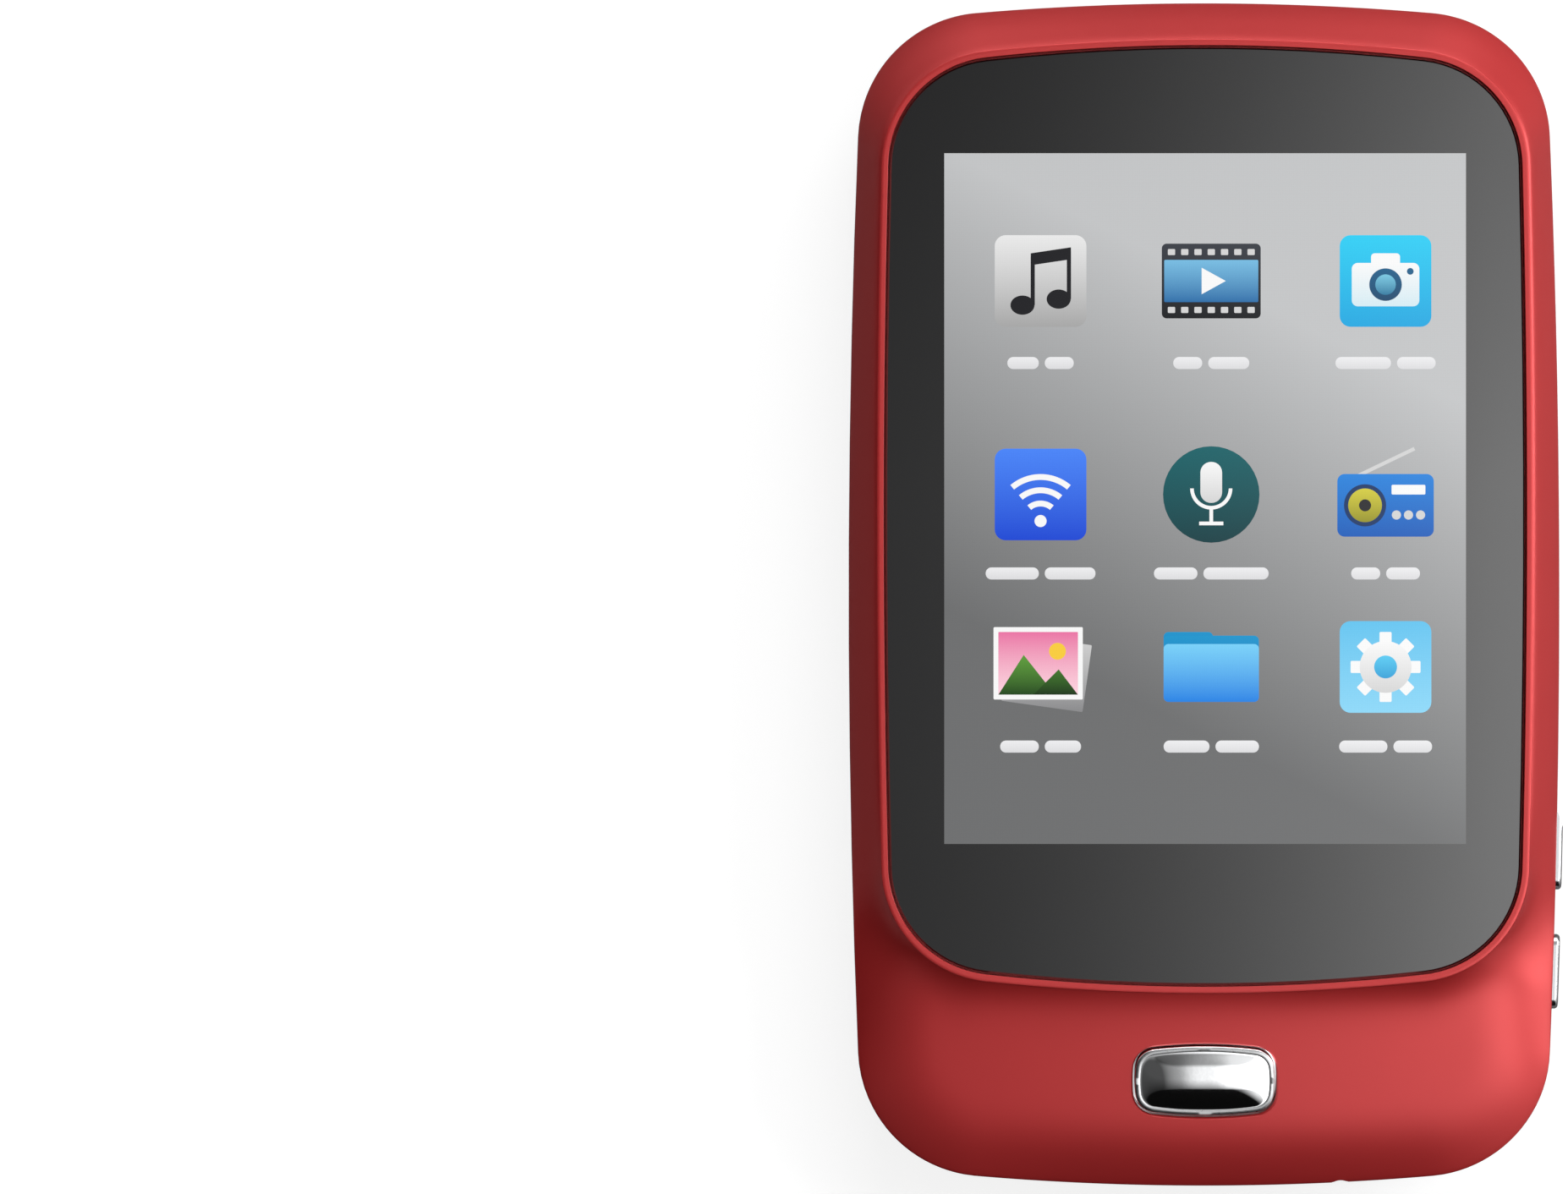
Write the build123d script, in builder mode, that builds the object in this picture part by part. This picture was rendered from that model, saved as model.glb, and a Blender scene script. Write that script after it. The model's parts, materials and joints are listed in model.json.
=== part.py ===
from build123d import *

import os
from math import cos, radians, sin, sqrt, tan

# Pocket digital audio player with a 2.8 inch touch display, lying on its back.
# Millimetres. +X is the right side with the volume keys, +Y the top end, +Z out of the screen.
# The origin is the middle of the flat back face.

# ---------------------------------------------------------------- driving dimensions
body_width = 59.0
body_length = 98.2
body_side_bow = 1.2
body_end_bow = 1.8
body_corner = 10.7
wall = 1.5
floor_z = 1.4
cover_round = 6.0
cover_bevel = 0.35

parting_z = 6.4
shoulder_z = 8.6
deck_z = 10.4
lens_z = 10.5
rim_z = 10.8
shoulder_draft = 0.65
deck_draft_side = 2.05
deck_draft_top = 2.9
deck_draft_bottom = 1.3
deck_corner = 9.6

lens_width = 52.9
lens_length = 77.6
lens_side_bow = 0.6
lens_end_bow = 2.1
lens_corner = 8.95
lens_center_y = 6.5
lens_thickness = 1.2
lens_gap = 0.15
rim_width = 0.6
rim_round = 0.12
adhesive_thickness = 0.15
ledge_thickness = 0.75

chin_tilt = 8.0
chin_start_y = -33.8
chin_bend_y = -43.0
chin_foot = (-49.3, 6.75)

active_width = 43.2
active_length = 57.6
active_center_y = 8.0
window_border = 1.3
display_width = 48.8
display_bottom_y = -27.5
display_top_y = 38.6
display_glass = 0.9
backlight_thickness = 1.5
gasket_thickness = 0.4
flex_thickness = 0.12

board_top_z = 4.2
board_thickness = 1.0
board_edge_y = -3.0
board_inset = 2.8

side_key_height = 1.8
side_key_gap = 0.1
side_key_proud = 0.5
side_key_travel = 0.3
side_key_flange = 0.5
key_ramp_length = 1.2
key_ramp_foot = 0.05
volume_up_y = (-24.5, -18.1)
volume_down_y = (-34.4, -28.2)
trim_y = (-18.0, 24.6)
trim_depth = 0.55
trim_gap = 0.03

home_width = 11.6
home_length = 5.8
home_side_bow = 0.25
home_end_bow = 0.45
home_corner = 1.7
home_y = -40.3
home_gap = 0.15
home_proud = 0.35
home_border = 0.4
home_flange = 0.6
home_stem_radius = 0.9
home_stem_length = 3.1

jack_x = 11.3
jack_z = 5.3
jack_bore_radius = 1.8
jack_end_wall = 0.5
jack_nose_radius = 2.15
jack_face_y = -46.9
jack_shoulder_y = -45.7
jack_end_y = -32.5
jack_body = (6.0, 4.4)
usb_x = -12.4
usb_z = 5.5
usb_size = (7.3, 2.6)
usb_face_y = -48.2
usb_end_y = -42.8
usb_sheet = 0.25
mic_x = 2.9
mic_slot = (1.3, 0.9)
mic_slot_z = 6.05

post_radius = 2.1
post_split_z = 3.2
case_screw_spots = [(x, y) for x in (-19.5, 19.5) for y in (-39.5, 41.2)]
board_screw_spots = [(-21.3, -30.0), (20.5, -14.0), (-21.3, -8.0)]
camera_spot = (12.0, 37.0)
speaker_spot = (-9.5, 37.0)
battery_size = (46.0, 33.0, 3.7)
battery_y = 15.2
socket_gap = 0.1
usb_round = 0.9
tongue_drop = 0.9
tongue_inset = 0.8
touch_flex_x = -8.0
touch_flex_y = -30.4
touch_flex_width = 7.0
touch_slot_width = 0.9
screw_radius = 0.7
screw_head_radius = 1.3
screw_head_height = 0.8
screw_head_top = 1.0
screw_slot_length = 1.6
screw_slot_width = 0.35
board_screw_radius = 0.6
board_screw_tip_z = 1.7
camera_ring_radius = 3.7
camera_ring_depth = 0.7
camera_barrel_radius = 2.3
sound_slot_count = 4
sound_slot_pitch = 1.6
sound_slot_length = 8.0
sound_slot_width = 0.8
display_flex_width = 16.0
display_connector_y = -21.5
touch_connector_y = -32.8
camera_connector_y = -6.0
connector_top_z = 5.1
connector_depth = 2.4
flex_bend = 0.5
jack_contact_y = (-43.5, -39.5, -35.5)
jack_contact_width = 1.2
jack_contact_depth = 0.9
jack_sheet = 0.2
usb_tongue_size = (3.7, 3.4, 0.6)
mic_y = -45.0
mic_size = (2.4, 1.8, 0.9)
mic_hole_radius = 0.35
boot_face_y = -47.5
boot_top_z = 6.1
boot_wall = 0.3
tape_inset = 3.0
tape_thickness = 0.15
battery_round = 1.2
battery_lead_x = (-7.0, -5.5)
battery_connector_y = -5.2
lead_radius = 0.35
speaker_size = (13.0, 9.5)
speaker_corner = 2.5
speaker_height = 3.0
speaker_lead_x = -24.2
speaker_lead_y = 34.0
mesh_thickness = 0.15
camera_window_radius = 2.9
camera_lens_radius = 1.3
camera_size = 8.0
camera_top_z = 5.3
side_key_round = 0.3
key_switch_size = (1.7, 4.4, 2.6)
plunger_size = (2.0, 1.2)
mark_depth = 0.12
mark_length = 1.1
mark_width = 0.24
home_switch_size = (4.0, 3.2, 1.4)
home_plunger_radius = 0.8
chip_bevel = 0.15
fit_gap = 0.02

# ---------------------------------------------------------------- values worked out from them
ledge_z = lens_z - lens_thickness - adhesive_thickness
bay_z = ledge_z - ledge_thickness
display_z = bay_z - gasket_thickness
backlight_z = display_z - display_glass
display_floor_z = backlight_z - backlight_thickness
display_center_y = (display_bottom_y + display_top_y) / 2
display_length = display_top_y - display_bottom_y
board_bottom_z = board_top_z - board_thickness
chin_slope = tan(radians(chin_tilt))
home_z = deck_z - chin_slope * (chin_start_y - home_y)
home_plane = Plane(
    origin=(0, home_y, home_z),
    x_dir=(1, 0, 0),
    z_dir=(0, -sin(radians(chin_tilt)), cos(radians(chin_tilt))),
)


def side_x(y):
    """X of the body's bowed right side at this Y."""
    half = body_length / 2 - body_end_bow
    radius = (half**2 + body_side_bow**2) / (2 * body_side_bow)
    return body_width / 2 - radius + sqrt(radius**2 - y**2)


# ---------------------------------------------------------------- shared outlines and tools
upright = (Align.CENTER, Align.CENTER, Align.MIN)


def bowed_outline(width, length, side_bow, end_bow, corner, center_y=0.0):
    """A rectangle whose sides and ends bow outwards, with round corners."""
    x, y = width / 2, length / 2
    corner_x, corner_y = x - side_bow, y - end_bow
    with BuildSketch() as outline:
        with BuildLine():
            ThreePointArc((corner_x, -corner_y), (x, 0), (corner_x, corner_y))
            ThreePointArc((corner_x, corner_y), (0, y), (-corner_x, corner_y))
            ThreePointArc((-corner_x, corner_y), (-x, 0), (-corner_x, -corner_y))
            ThreePointArc((-corner_x, -corner_y), (0, -y), (corner_x, -corner_y))
        make_face()
        fillet(outline.vertices(), radius=corner)
    return outline.sketch.moved(Location((0, center_y, 0)))


def body_shape(grow=0.0):
    """The plan outline of the casing, grown outwards by this much."""
    width, length = body_width + 2 * grow, body_length + 2 * grow
    return bowed_outline(width, length, body_side_bow, body_end_bow, body_corner + grow)


def lens_shape(grow=0.0):
    """The outline of the cover panel, grown outwards by this much."""
    width, length = lens_width + 2 * grow, lens_length + 2 * grow
    return bowed_outline(width, length, lens_side_bow, lens_end_bow, lens_corner + grow, lens_center_y)


def home_shape(grow=0.0):
    """The outline of the home button, grown outwards by this much."""
    width, length = home_width + 2 * grow, home_length + 2 * grow
    return bowed_outline(width, length, home_side_bow, home_end_bow, home_corner + grow)


def save(piece, name):
    """Label a finished piece and write its STEP file."""
    piece.part.label = name
    export_step(piece.part, f"parts/{name}.step")


os.makedirs("parts", exist_ok=True)

deck_outline = bowed_outline(
    body_width - 2 * deck_draft_side,
    body_length - deck_draft_top - deck_draft_bottom,
    body_side_bow,
    body_end_bow,
    deck_corner,
    (deck_draft_bottom - deck_draft_top) / 2,
)

# Everything above the sloping chin.
with BuildPart() as chin_tool:
    with BuildSketch(Plane.YZ):
        with BuildLine():
            slope = Line(
                (chin_start_y, deck_z), (chin_bend_y, deck_z - chin_slope * (chin_start_y - chin_bend_y))
            )
            TangentArc(slope @ 1, chin_foot, tangent=slope % 1)
            Polyline(
                chin_foot,
                (-body_length, chin_foot[1]),
                (-body_length, rim_z + wall),
                (chin_start_y, rim_z + wall),
                slope @ 0,
            )
        make_face()
    extrude(amount=body_width, both=True)

# The hollow inside the front housing.
with BuildPart() as front_cavity:
    with BuildSketch(Plane.XY.offset(parting_z)):
        add(body_shape(-wall))
    extrude(amount=bay_z - parting_z, taper=18)
    with Locations((0, 0, -wall)):
        add(chin_tool.part, mode=Mode.SUBTRACT)

# Tunnels from outside to the headphone jack, the USB socket and the microphone.
with BuildPart() as socket_tunnels:
    with BuildSketch(Plane.XZ.offset(-jack_end_y)):
        with Locations((jack_x, jack_z)):
            Rectangle(jack_body[0] + socket_gap, jack_body[1] + socket_gap)
    extrude(amount=jack_end_y - jack_shoulder_y + socket_gap)
    with BuildSketch(Plane.XZ.offset(-jack_shoulder_y)):
        with Locations((jack_x, jack_z)):
            Circle(jack_nose_radius + fit_gap)
    extrude(amount=jack_shoulder_y - jack_face_y + fit_gap)
    with BuildSketch(Plane.XZ.offset(-jack_face_y)):
        with Locations((jack_x, jack_z)):
            Circle(jack_bore_radius)
    extrude(amount=body_corner)
    with BuildSketch(Plane.XZ.offset(-usb_end_y)):
        with Locations((usb_x, usb_z)):
            RectangleRounded(usb_size[0] + socket_gap, usb_size[1] + socket_gap, usb_round)
    extrude(amount=body_corner)
    with BuildSketch(Plane.XZ.offset(-usb_end_y)):
        with Locations((mic_x, mic_slot_z)):
            RectangleRounded(*mic_slot, mic_slot[1] / 2 - fit_gap)
    extrude(amount=body_corner)


def side_prism(y_range, height, start_x, square_end=0):
    """A pill-shaped prism out through the right side at the parting line; 1 or -1 squares its top or bottom end."""
    low, high = y_range
    plane = Plane(origin=(start_x, (low + high) / 2, parting_z), x_dir=(0, 1, 0), z_dir=(1, 0, 0))
    with BuildPart() as prism:
        with BuildSketch(plane):
            SlotOverall(high - low, height)
            if square_end:
                with Locations((square_end * (high - low) / 4, 0)):
                    Rectangle((high - low) / 2, height)
        extrude(amount=body_width / 2 + wall - start_x)
    return prism.part


def key_flange_x(y_range):
    """X of the inner face of a volume key's flange."""
    return side_x(sum(y_range) / 2) - wall - fit_gap - side_key_flange


def widened(y_range, amount):
    return (y_range[0] - amount, y_range[1] + amount)


# Everything cut out of both shells for the two volume keys and the trim bar.
with BuildPart() as side_openings:
    opening_height = side_key_height + 2 * side_key_gap
    for y_range, square_end in ((volume_up_y, 1), (volume_down_y, 0)):
        add(side_prism(widened(y_range, side_key_gap), opening_height, display_width / 2, square_end))
        low, high = widened(y_range, side_key_flange + side_key_gap)
        pocket_height = side_key_height + 2 * (side_key_flange + side_key_gap)
        pocket_depth = key_flange_x(y_range) + side_key_flange + fit_gap - display_width / 2
        with Locations((display_width / 2, (low + high) / 2, parting_z)):
            Box(pocket_depth, high - low, pocket_height, align=(Align.MIN, Align.CENTER, Align.CENTER))

with BuildPart() as trim_channel:
    with BuildSketch(Plane.XY.offset(parting_z - side_key_height)):
        add(body_shape(wall))
        add(body_shape(-trim_depth - trim_gap), mode=Mode.SUBTRACT)
    extrude(amount=2 * side_key_height)
    add(
        side_prism(widened(trim_y, trim_gap), side_key_height + 2 * trim_gap, display_width / 2, -1),
        mode=Mode.INTERSECT,
    )


# ---------------------------------------------------------------- casing
with BuildPart() as front_housing:
    for height, outline in (
        (parting_z, body_shape()),
        (shoulder_z, body_shape(-shoulder_draft)),
        (deck_z, deck_outline),
    ):
        with BuildSketch(Plane.XY.offset(height)):
            add(outline)
    loft()
    add(chin_tool.part, mode=Mode.SUBTRACT)
    # The rim round the cover panel stands above the deck.
    with BuildSketch(Plane.XY.offset(bay_z)):
        add(lens_shape(lens_gap + rim_width))
    extrude(amount=rim_z - bay_z)
    add(front_cavity.part, mode=Mode.SUBTRACT)
    # Screw posts hang from the underside, and a tongue laps inside the back cover.
    with BuildSketch(Plane.XY.offset(post_split_z)):
        with Locations(*case_screw_spots):
            Circle(post_radius)
    extrude(amount=bay_z - post_split_z + fit_gap)
    with BuildSketch(Plane.XY.offset(parting_z - tongue_drop)):
        add(body_shape(-tongue_inset))
        add(body_shape(-wall), mode=Mode.SUBTRACT)
    extrude(amount=tongue_drop)
    # Pocket for the cover panel, window for the display, slot for the touch flex.
    with BuildSketch(Plane.XY.offset(ledge_z)):
        add(lens_shape(lens_gap))
    extrude(amount=rim_z, mode=Mode.SUBTRACT)
    with BuildSketch(Plane.XY.offset(bay_z)):
        with Locations((0, active_center_y)):
            RectangleRounded(active_width + 2 * window_border, active_length + 2 * window_border, window_border)
        with Locations((touch_flex_x, touch_flex_y)):
            SlotOverall(touch_flex_width + 2 * window_border, touch_slot_width)
    extrude(amount=rim_z, mode=Mode.SUBTRACT)
    # Opening for the home button.
    with BuildSketch(home_plane.offset(-2 * wall)):
        add(home_shape(home_gap))
    extrude(amount=3 * wall, mode=Mode.SUBTRACT)
    add(socket_tunnels.part, mode=Mode.SUBTRACT)
    add(side_openings.part, mode=Mode.SUBTRACT)
    add(trim_channel.part, mode=Mode.SUBTRACT)
    with Locations(*[(x, y, post_split_z) for x, y in case_screw_spots]):
        Cylinder(screw_radius + fit_gap, parting_z - post_split_z, align=upright, mode=Mode.SUBTRACT)
save(front_housing, "front_housing")

# The hollow inside the back cover.
with BuildPart() as cover_hollow:
    with BuildSketch(Plane.XY.offset(floor_z)):
        add(body_shape(-wall))
    extrude(amount=parting_z - floor_z)
    fillet(cover_hollow.faces().sort_by(Axis.Z)[0].edges(), radius=cover_round - wall)

with BuildPart() as back_cover:
    with BuildSketch():
        add(body_shape())
    extrude(amount=parting_z)
    fillet(back_cover.faces().sort_by(Axis.Z)[0].edges(), radius=cover_round)
    chamfer(back_cover.faces().sort_by(Axis.Z)[-1].edges(), length=cover_bevel)
    add(cover_hollow.part, mode=Mode.SUBTRACT)
    with BuildSketch(Plane.XY.offset(parting_z)):
        add(body_shape(fit_gap - tongue_inset))
    extrude(amount=-tongue_drop - fit_gap, mode=Mode.SUBTRACT)
    # Bosses under the case posts and under the board.
    with BuildSketch(Plane.XY.offset(floor_z - fit_gap)):
        with Locations(*case_screw_spots, *board_screw_spots):
            Circle(post_radius)
    extrude(amount=post_split_z - floor_z)
    with Locations(*[(x, y, 0) for x, y in case_screw_spots]):
        Cylinder(screw_radius + fit_gap, post_split_z, align=upright, mode=Mode.SUBTRACT)
        Cylinder(screw_head_radius + socket_gap, screw_head_top, align=upright, mode=Mode.SUBTRACT)
    with Locations(*[(x, y, board_screw_tip_z) for x, y in board_screw_spots]):
        Cylinder(board_screw_radius + fit_gap, post_split_z, align=upright, mode=Mode.SUBTRACT)
    # Camera seat and hole, and sound slots over the speaker.
    with Locations((*camera_spot, 0)):
        Cylinder(camera_ring_radius + fit_gap, camera_ring_depth, align=upright, mode=Mode.SUBTRACT)
        Cylinder(camera_barrel_radius + socket_gap, floor_z, align=upright, mode=Mode.SUBTRACT)
    with BuildSketch():
        with Locations(speaker_spot):
            with GridLocations(0, sound_slot_pitch, 1, sound_slot_count):
                SlotOverall(sound_slot_length, sound_slot_width)
    extrude(amount=floor_z, mode=Mode.SUBTRACT)
    add(socket_tunnels.part, mode=Mode.SUBTRACT)
    add(side_openings.part, mode=Mode.SUBTRACT)
    add(trim_channel.part, mode=Mode.SUBTRACT)
save(back_cover, "back_cover")

with BuildPart() as side_trim:
    with BuildSketch(Plane.XY.offset(parting_z - side_key_height)):
        add(body_shape())
        add(body_shape(-trim_depth), mode=Mode.SUBTRACT)
    extrude(amount=2 * side_key_height)
    add(side_prism(trim_y, side_key_height, display_width / 2, -1), mode=Mode.INTERSECT)
save(side_trim, "side_trim")

with BuildPart() as case_screws:
    with Locations(*[(x, y, screw_head_top) for x, y in case_screw_spots]):
        Cylinder(screw_radius, parting_z - screw_head_top - socket_gap, align=upright)
        Cylinder(screw_head_radius, screw_head_height, align=(Align.CENTER, Align.CENTER, Align.MAX))
    with Locations(*[(x, y, screw_head_top - screw_head_height) for x, y in case_screw_spots]):
        Box(screw_slot_length, screw_slot_width, screw_head_height, mode=Mode.SUBTRACT)
        Box(screw_slot_width, screw_slot_length, screw_head_height, mode=Mode.SUBTRACT)
save(case_screws, "case_screws")

# ---------------------------------------------------------------- cover panel and display stack
with BuildPart() as touch_panel:
    with BuildSketch(Plane.XY.offset(lens_z - lens_thickness)):
        add(lens_shape())
    extrude(amount=lens_thickness)
    chamfer(touch_panel.faces().sort_by(Axis.Z)[-1].edges(), length=rim_round)
save(touch_panel, "touch_panel")

with BuildPart() as touch_adhesive:
    with BuildSketch(Plane.XY.offset(ledge_z)):
        add(lens_shape(-2 * lens_gap))
        with Locations((0, active_center_y)):
            RectangleRounded(
                active_width + 3 * window_border,
                active_length + 3 * window_border,
                window_border,
                mode=Mode.SUBTRACT,
            )
        with Locations((touch_flex_x, touch_flex_y)):
            SlotOverall(touch_flex_width + 2 * window_border, touch_slot_width, mode=Mode.SUBTRACT)
    extrude(amount=adhesive_thickness)
save(touch_adhesive, "touch_adhesive")

with BuildPart() as display_gasket:
    with BuildSketch(Plane.XY.offset(display_z)):
        with Locations((0, active_center_y)):
            Rectangle(active_width + 4 * window_border, active_length + 2 * window_border)
            Rectangle(active_width + 2 * window_border, active_length, mode=Mode.SUBTRACT)
    extrude(amount=gasket_thickness)
save(display_gasket, "display_gasket")

with BuildPart() as display_panel:
    with Locations((0, display_center_y, backlight_z)):
        Box(display_width, display_length, display_glass, align=upright)
    chamfer(display_panel.edges().filter_by(Axis.Z), length=window_border / 4)
save(display_panel, "display_panel")

with BuildPart() as display_backlight:
    with Locations((0, display_center_y, display_floor_z)):
        Box(display_width, display_length, backlight_thickness, align=upright)
    with Locations((0, display_bottom_y, display_floor_z)):
        Box(display_flex_width + 2, 2 * window_border, 2 * backlight_thickness, mode=Mode.SUBTRACT)
    fillet(display_backlight.edges().filter_by(Axis.Z), radius=window_border / 4)
save(display_backlight, "display_backlight")


def ribbon(points, plane, width):
    """A thin flexible circuit that follows a rounded path in the plane and is this wide across it."""
    with BuildPart() as flex:
        with BuildSketch(plane):
            with BuildLine():
                FilletPolyline(*points, radius=flex_bend)
                offset(amount=flex_thickness, side=Side.LEFT)
            make_face()
        extrude(amount=width / 2, both=True)
    return flex.part


with BuildPart() as display_flex:
    edge_z = backlight_z - flex_thickness - fit_gap
    run_z = display_floor_z - 2 * flex_thickness
    add(
        ribbon(
            [
                (display_bottom_y + window_border / 2, edge_z),
                (display_bottom_y - window_border, edge_z),
                (display_bottom_y - window_border, run_z),
                (display_connector_y, run_z),
            ],
            Plane.YZ,
            display_flex_width,
        )
    )
save(display_flex, "display_flex")

with BuildPart() as touch_flex:
    add(
        ribbon(
            [
                (touch_flex_y, ledge_z + adhesive_thickness - fit_gap),
                (touch_flex_y, connector_top_z + flex_thickness + fit_gap),
                (touch_connector_y, connector_top_z + flex_thickness + fit_gap),
            ],
            Plane.YZ.offset(touch_flex_x),
            touch_flex_width,
        )
    )
save(touch_flex, "touch_flex")

# ---------------------------------------------------------------- main board
with BuildPart() as main_board:
    with BuildSketch(Plane.XY.offset(board_bottom_z)):
        add(body_shape(-board_inset))
        with Locations((0, board_edge_y)):
            Rectangle(2 * body_width, body_length, align=(Align.CENTER, Align.MIN), mode=Mode.SUBTRACT)
        with Locations((jack_x, jack_end_y + 2 * socket_gap)):
            Rectangle(
                jack_body[0] + 4 * socket_gap,
                body_length,
                align=(Align.CENTER, Align.MAX),
                mode=Mode.SUBTRACT,
            )
        with Locations(*case_screw_spots):
            Circle(post_radius + 2 * socket_gap, mode=Mode.SUBTRACT)
        with Locations(*board_screw_spots):
            Circle(board_screw_radius + 2 * fit_gap, mode=Mode.SUBTRACT)
    extrude(amount=board_thickness)
save(main_board, "main_board")

with BuildPart() as board_screws:
    with Locations(*[(x, y, board_screw_tip_z + fit_gap) for x, y in board_screw_spots]):
        Cylinder(board_screw_radius, board_top_z - board_screw_tip_z, align=upright)
    with Locations(*[(x, y, board_top_z) for x, y in board_screw_spots]):
        Cylinder(2 * board_screw_radius, board_screw_radius, align=upright)
        with Locations((0, 0, board_screw_radius)):
            Box(2 * board_screw_radius, screw_slot_width, board_screw_radius, mode=Mode.SUBTRACT)
save(board_screws, "board_screws")

# Plain boxed components on the board: name, centre, size.
board_chips = {
    "processor": ((-2.0, -13.5), (12.0, 12.0, 1.0)),
    "flash_memory": ((12.5, -14.5), (11.0, 9.0, 0.9)),
    "memory_chip": ((-13.2, -13.5), (8.0, 10.0, 0.9)),
    "power_chip": ((-14.5, -27.0), (5.0, 5.0, 0.8)),
    "audio_chip": ((15.5, -27.0), (5.0, 5.0, 0.8)),
    "radio_can": ((-20.5, -20.0), (5.6, 8.0, 1.2)),
    "chip_antenna": ((-22.5, -38.5), (1.8, 6.0, 1.0)),
    "crystal": ((9.5, -22.0), (3.2, 2.0, 0.8)),
}
for chip_name, (chip_spot, chip_size) in board_chips.items():
    with BuildPart() as chip:
        with Locations((*chip_spot, board_top_z)):
            Box(*chip_size, align=upright)
        chamfer(chip.faces().sort_by(Axis.Z)[-1].edges(), length=chip_bevel)
    save(chip, chip_name)

with BuildPart() as power_inductors:
    with Locations(*[(x, -36.5, board_top_z) for x in (-12.0, -7.5)]):
        Box(3.0, 3.0, 1.2, align=upright)
        fillet(power_inductors.edges().filter_by(Axis.Z), radius=0.5)
save(power_inductors, "power_inductors")

with BuildPart() as capacitors:
    with Locations((2.0, -6.0, board_top_z), (2.0, -25.0, board_top_z)):
        with GridLocations(2.2, 1.6, 5, 2):
            Box(1.0, 0.5, 0.5, align=upright)
    with Locations((7.0, -35.0, board_top_z), (16.3, -33.5, board_top_z)):
        with GridLocations(0, 2.0, 1, 2):
            Box(1.6, 0.8, 0.8, align=upright)
save(capacitors, "capacitors")

with BuildPart() as flex_connectors:
    with Locations(
        (0, display_connector_y, board_top_z),
        (touch_flex_x, touch_connector_y, board_top_z),
        (camera_spot[0], camera_connector_y, board_top_z),
    ):
        Box(touch_flex_width + 2, connector_depth, connector_top_z - board_top_z, align=upright)
save(flex_connectors, "flex_connectors")

# ---------------------------------------------------------------- sockets and microphone
with BuildPart() as headphone_jack:
    with BuildSketch(Plane.XZ.offset(-jack_end_y)):
        with Locations((jack_x, jack_z)):
            Rectangle(*jack_body)
    extrude(amount=jack_end_y - jack_shoulder_y)
    with BuildSketch(Plane.XZ.offset(-jack_shoulder_y)):
        with Locations((jack_x, jack_z)):
            Circle(jack_nose_radius)
    extrude(amount=jack_shoulder_y - jack_face_y)
    with BuildSketch(Plane.XZ.offset(-jack_face_y)):
        with Locations((jack_x, jack_z)):
            Circle(jack_bore_radius)
    extrude(amount=jack_face_y - jack_end_y + jack_end_wall, mode=Mode.SUBTRACT)
    # Windows where the contact springs look into the bore.
    with Locations(*[(jack_x, y, jack_z + jack_body[1] / 2) for y in jack_contact_y]):
        Box(jack_contact_width, jack_contact_width, jack_contact_depth, mode=Mode.SUBTRACT)
save(headphone_jack, "headphone_jack")

with BuildPart() as jack_contacts:
    with Locations(*[(jack_x, y, jack_z + jack_body[1] / 2) for y in jack_contact_y]):
        Box(
            jack_contact_width - 2 * fit_gap,
            jack_contact_width - 2 * fit_gap,
            jack_sheet,
            align=(Align.CENTER, Align.CENTER, Align.MAX),
        )
save(jack_contacts, "jack_contacts")

with BuildPart() as usb_shell:
    with BuildSketch(Plane.XZ.offset(-usb_end_y)):
        with Locations((usb_x, usb_z)):
            RectangleRounded(*usb_size, usb_round)
    extrude(amount=usb_end_y - usb_face_y)
    with BuildSketch(Plane.XZ.offset(-usb_end_y + usb_sheet)):
        with Locations((usb_x, usb_z)):
            RectangleRounded(usb_size[0] - 2 * usb_sheet, usb_size[1] - 2 * usb_sheet, usb_round - usb_sheet)
    extrude(amount=usb_end_y - usb_face_y, mode=Mode.SUBTRACT)
save(usb_shell, "usb_shell")

with BuildPart() as usb_tongue:
    with Locations((usb_x, usb_end_y - usb_sheet - fit_gap, usb_z)):
        Box(
            usb_size[0] - 2 * usb_sheet - 2 * fit_gap,
            usb_sheet,
            usb_size[1] - 2 * usb_sheet - 2 * usb_round,
            align=(Align.CENTER, Align.MAX, Align.CENTER),
        )
        Box(*usb_tongue_size, align=(Align.CENTER, Align.MAX, Align.CENTER))
    chamfer(usb_tongue.faces().sort_by(Axis.Y)[0].edges(), length=chip_bevel)
save(usb_tongue, "usb_tongue")

with BuildPart() as microphone:
    with Locations((mic_x, mic_y, board_top_z)):
        Box(*mic_size, align=upright)
        Cylinder(mic_hole_radius, 2 * mic_size[2], align=upright, mode=Mode.SUBTRACT)
save(microphone, "microphone")

with BuildPart() as microphone_boot:
    # A rubber duct that carries sound from the slot in the casing down to the microphone.
    with BuildSketch(Plane.YZ.offset(mic_x - mic_size[0] / 2)):
        with BuildLine():
            Polyline(
                (mic_y + mic_size[1] / 2, board_top_z + mic_size[2] + fit_gap),
                (mic_y + mic_size[1] / 2, boot_top_z),
                (boot_face_y + 2 * boot_wall, boot_top_z),
                (boot_face_y, boot_top_z - boot_wall),
                (boot_face_y, board_top_z + mic_size[2] + fit_gap),
                close=True,
            )
        make_face()
    extrude(amount=mic_size[0])
    with Locations((mic_x, mic_y, board_top_z + mic_size[2])):
        Cylinder(mic_hole_radius, boot_top_z - board_top_z - mic_size[2] - boot_wall, align=upright, mode=Mode.SUBTRACT)
save(microphone_boot, "microphone_boot")

# ---------------------------------------------------------------- battery, speaker and camera
with BuildPart() as battery_tape:
    with Locations((0, battery_y, floor_z)):
        Box(battery_size[0] - 2 * tape_inset, battery_size[1] - 2 * tape_inset, tape_thickness, align=upright)
save(battery_tape, "battery_tape")

with BuildPart() as battery:
    with Locations((0, battery_y, floor_z + tape_thickness)):
        Box(*battery_size, align=upright)
    fillet(battery.edges().filter_by(Axis.Y), radius=battery_round)
    fillet(battery.edges().filter_by(Axis.Z), radius=battery_round / 2)
save(battery, "battery")

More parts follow.
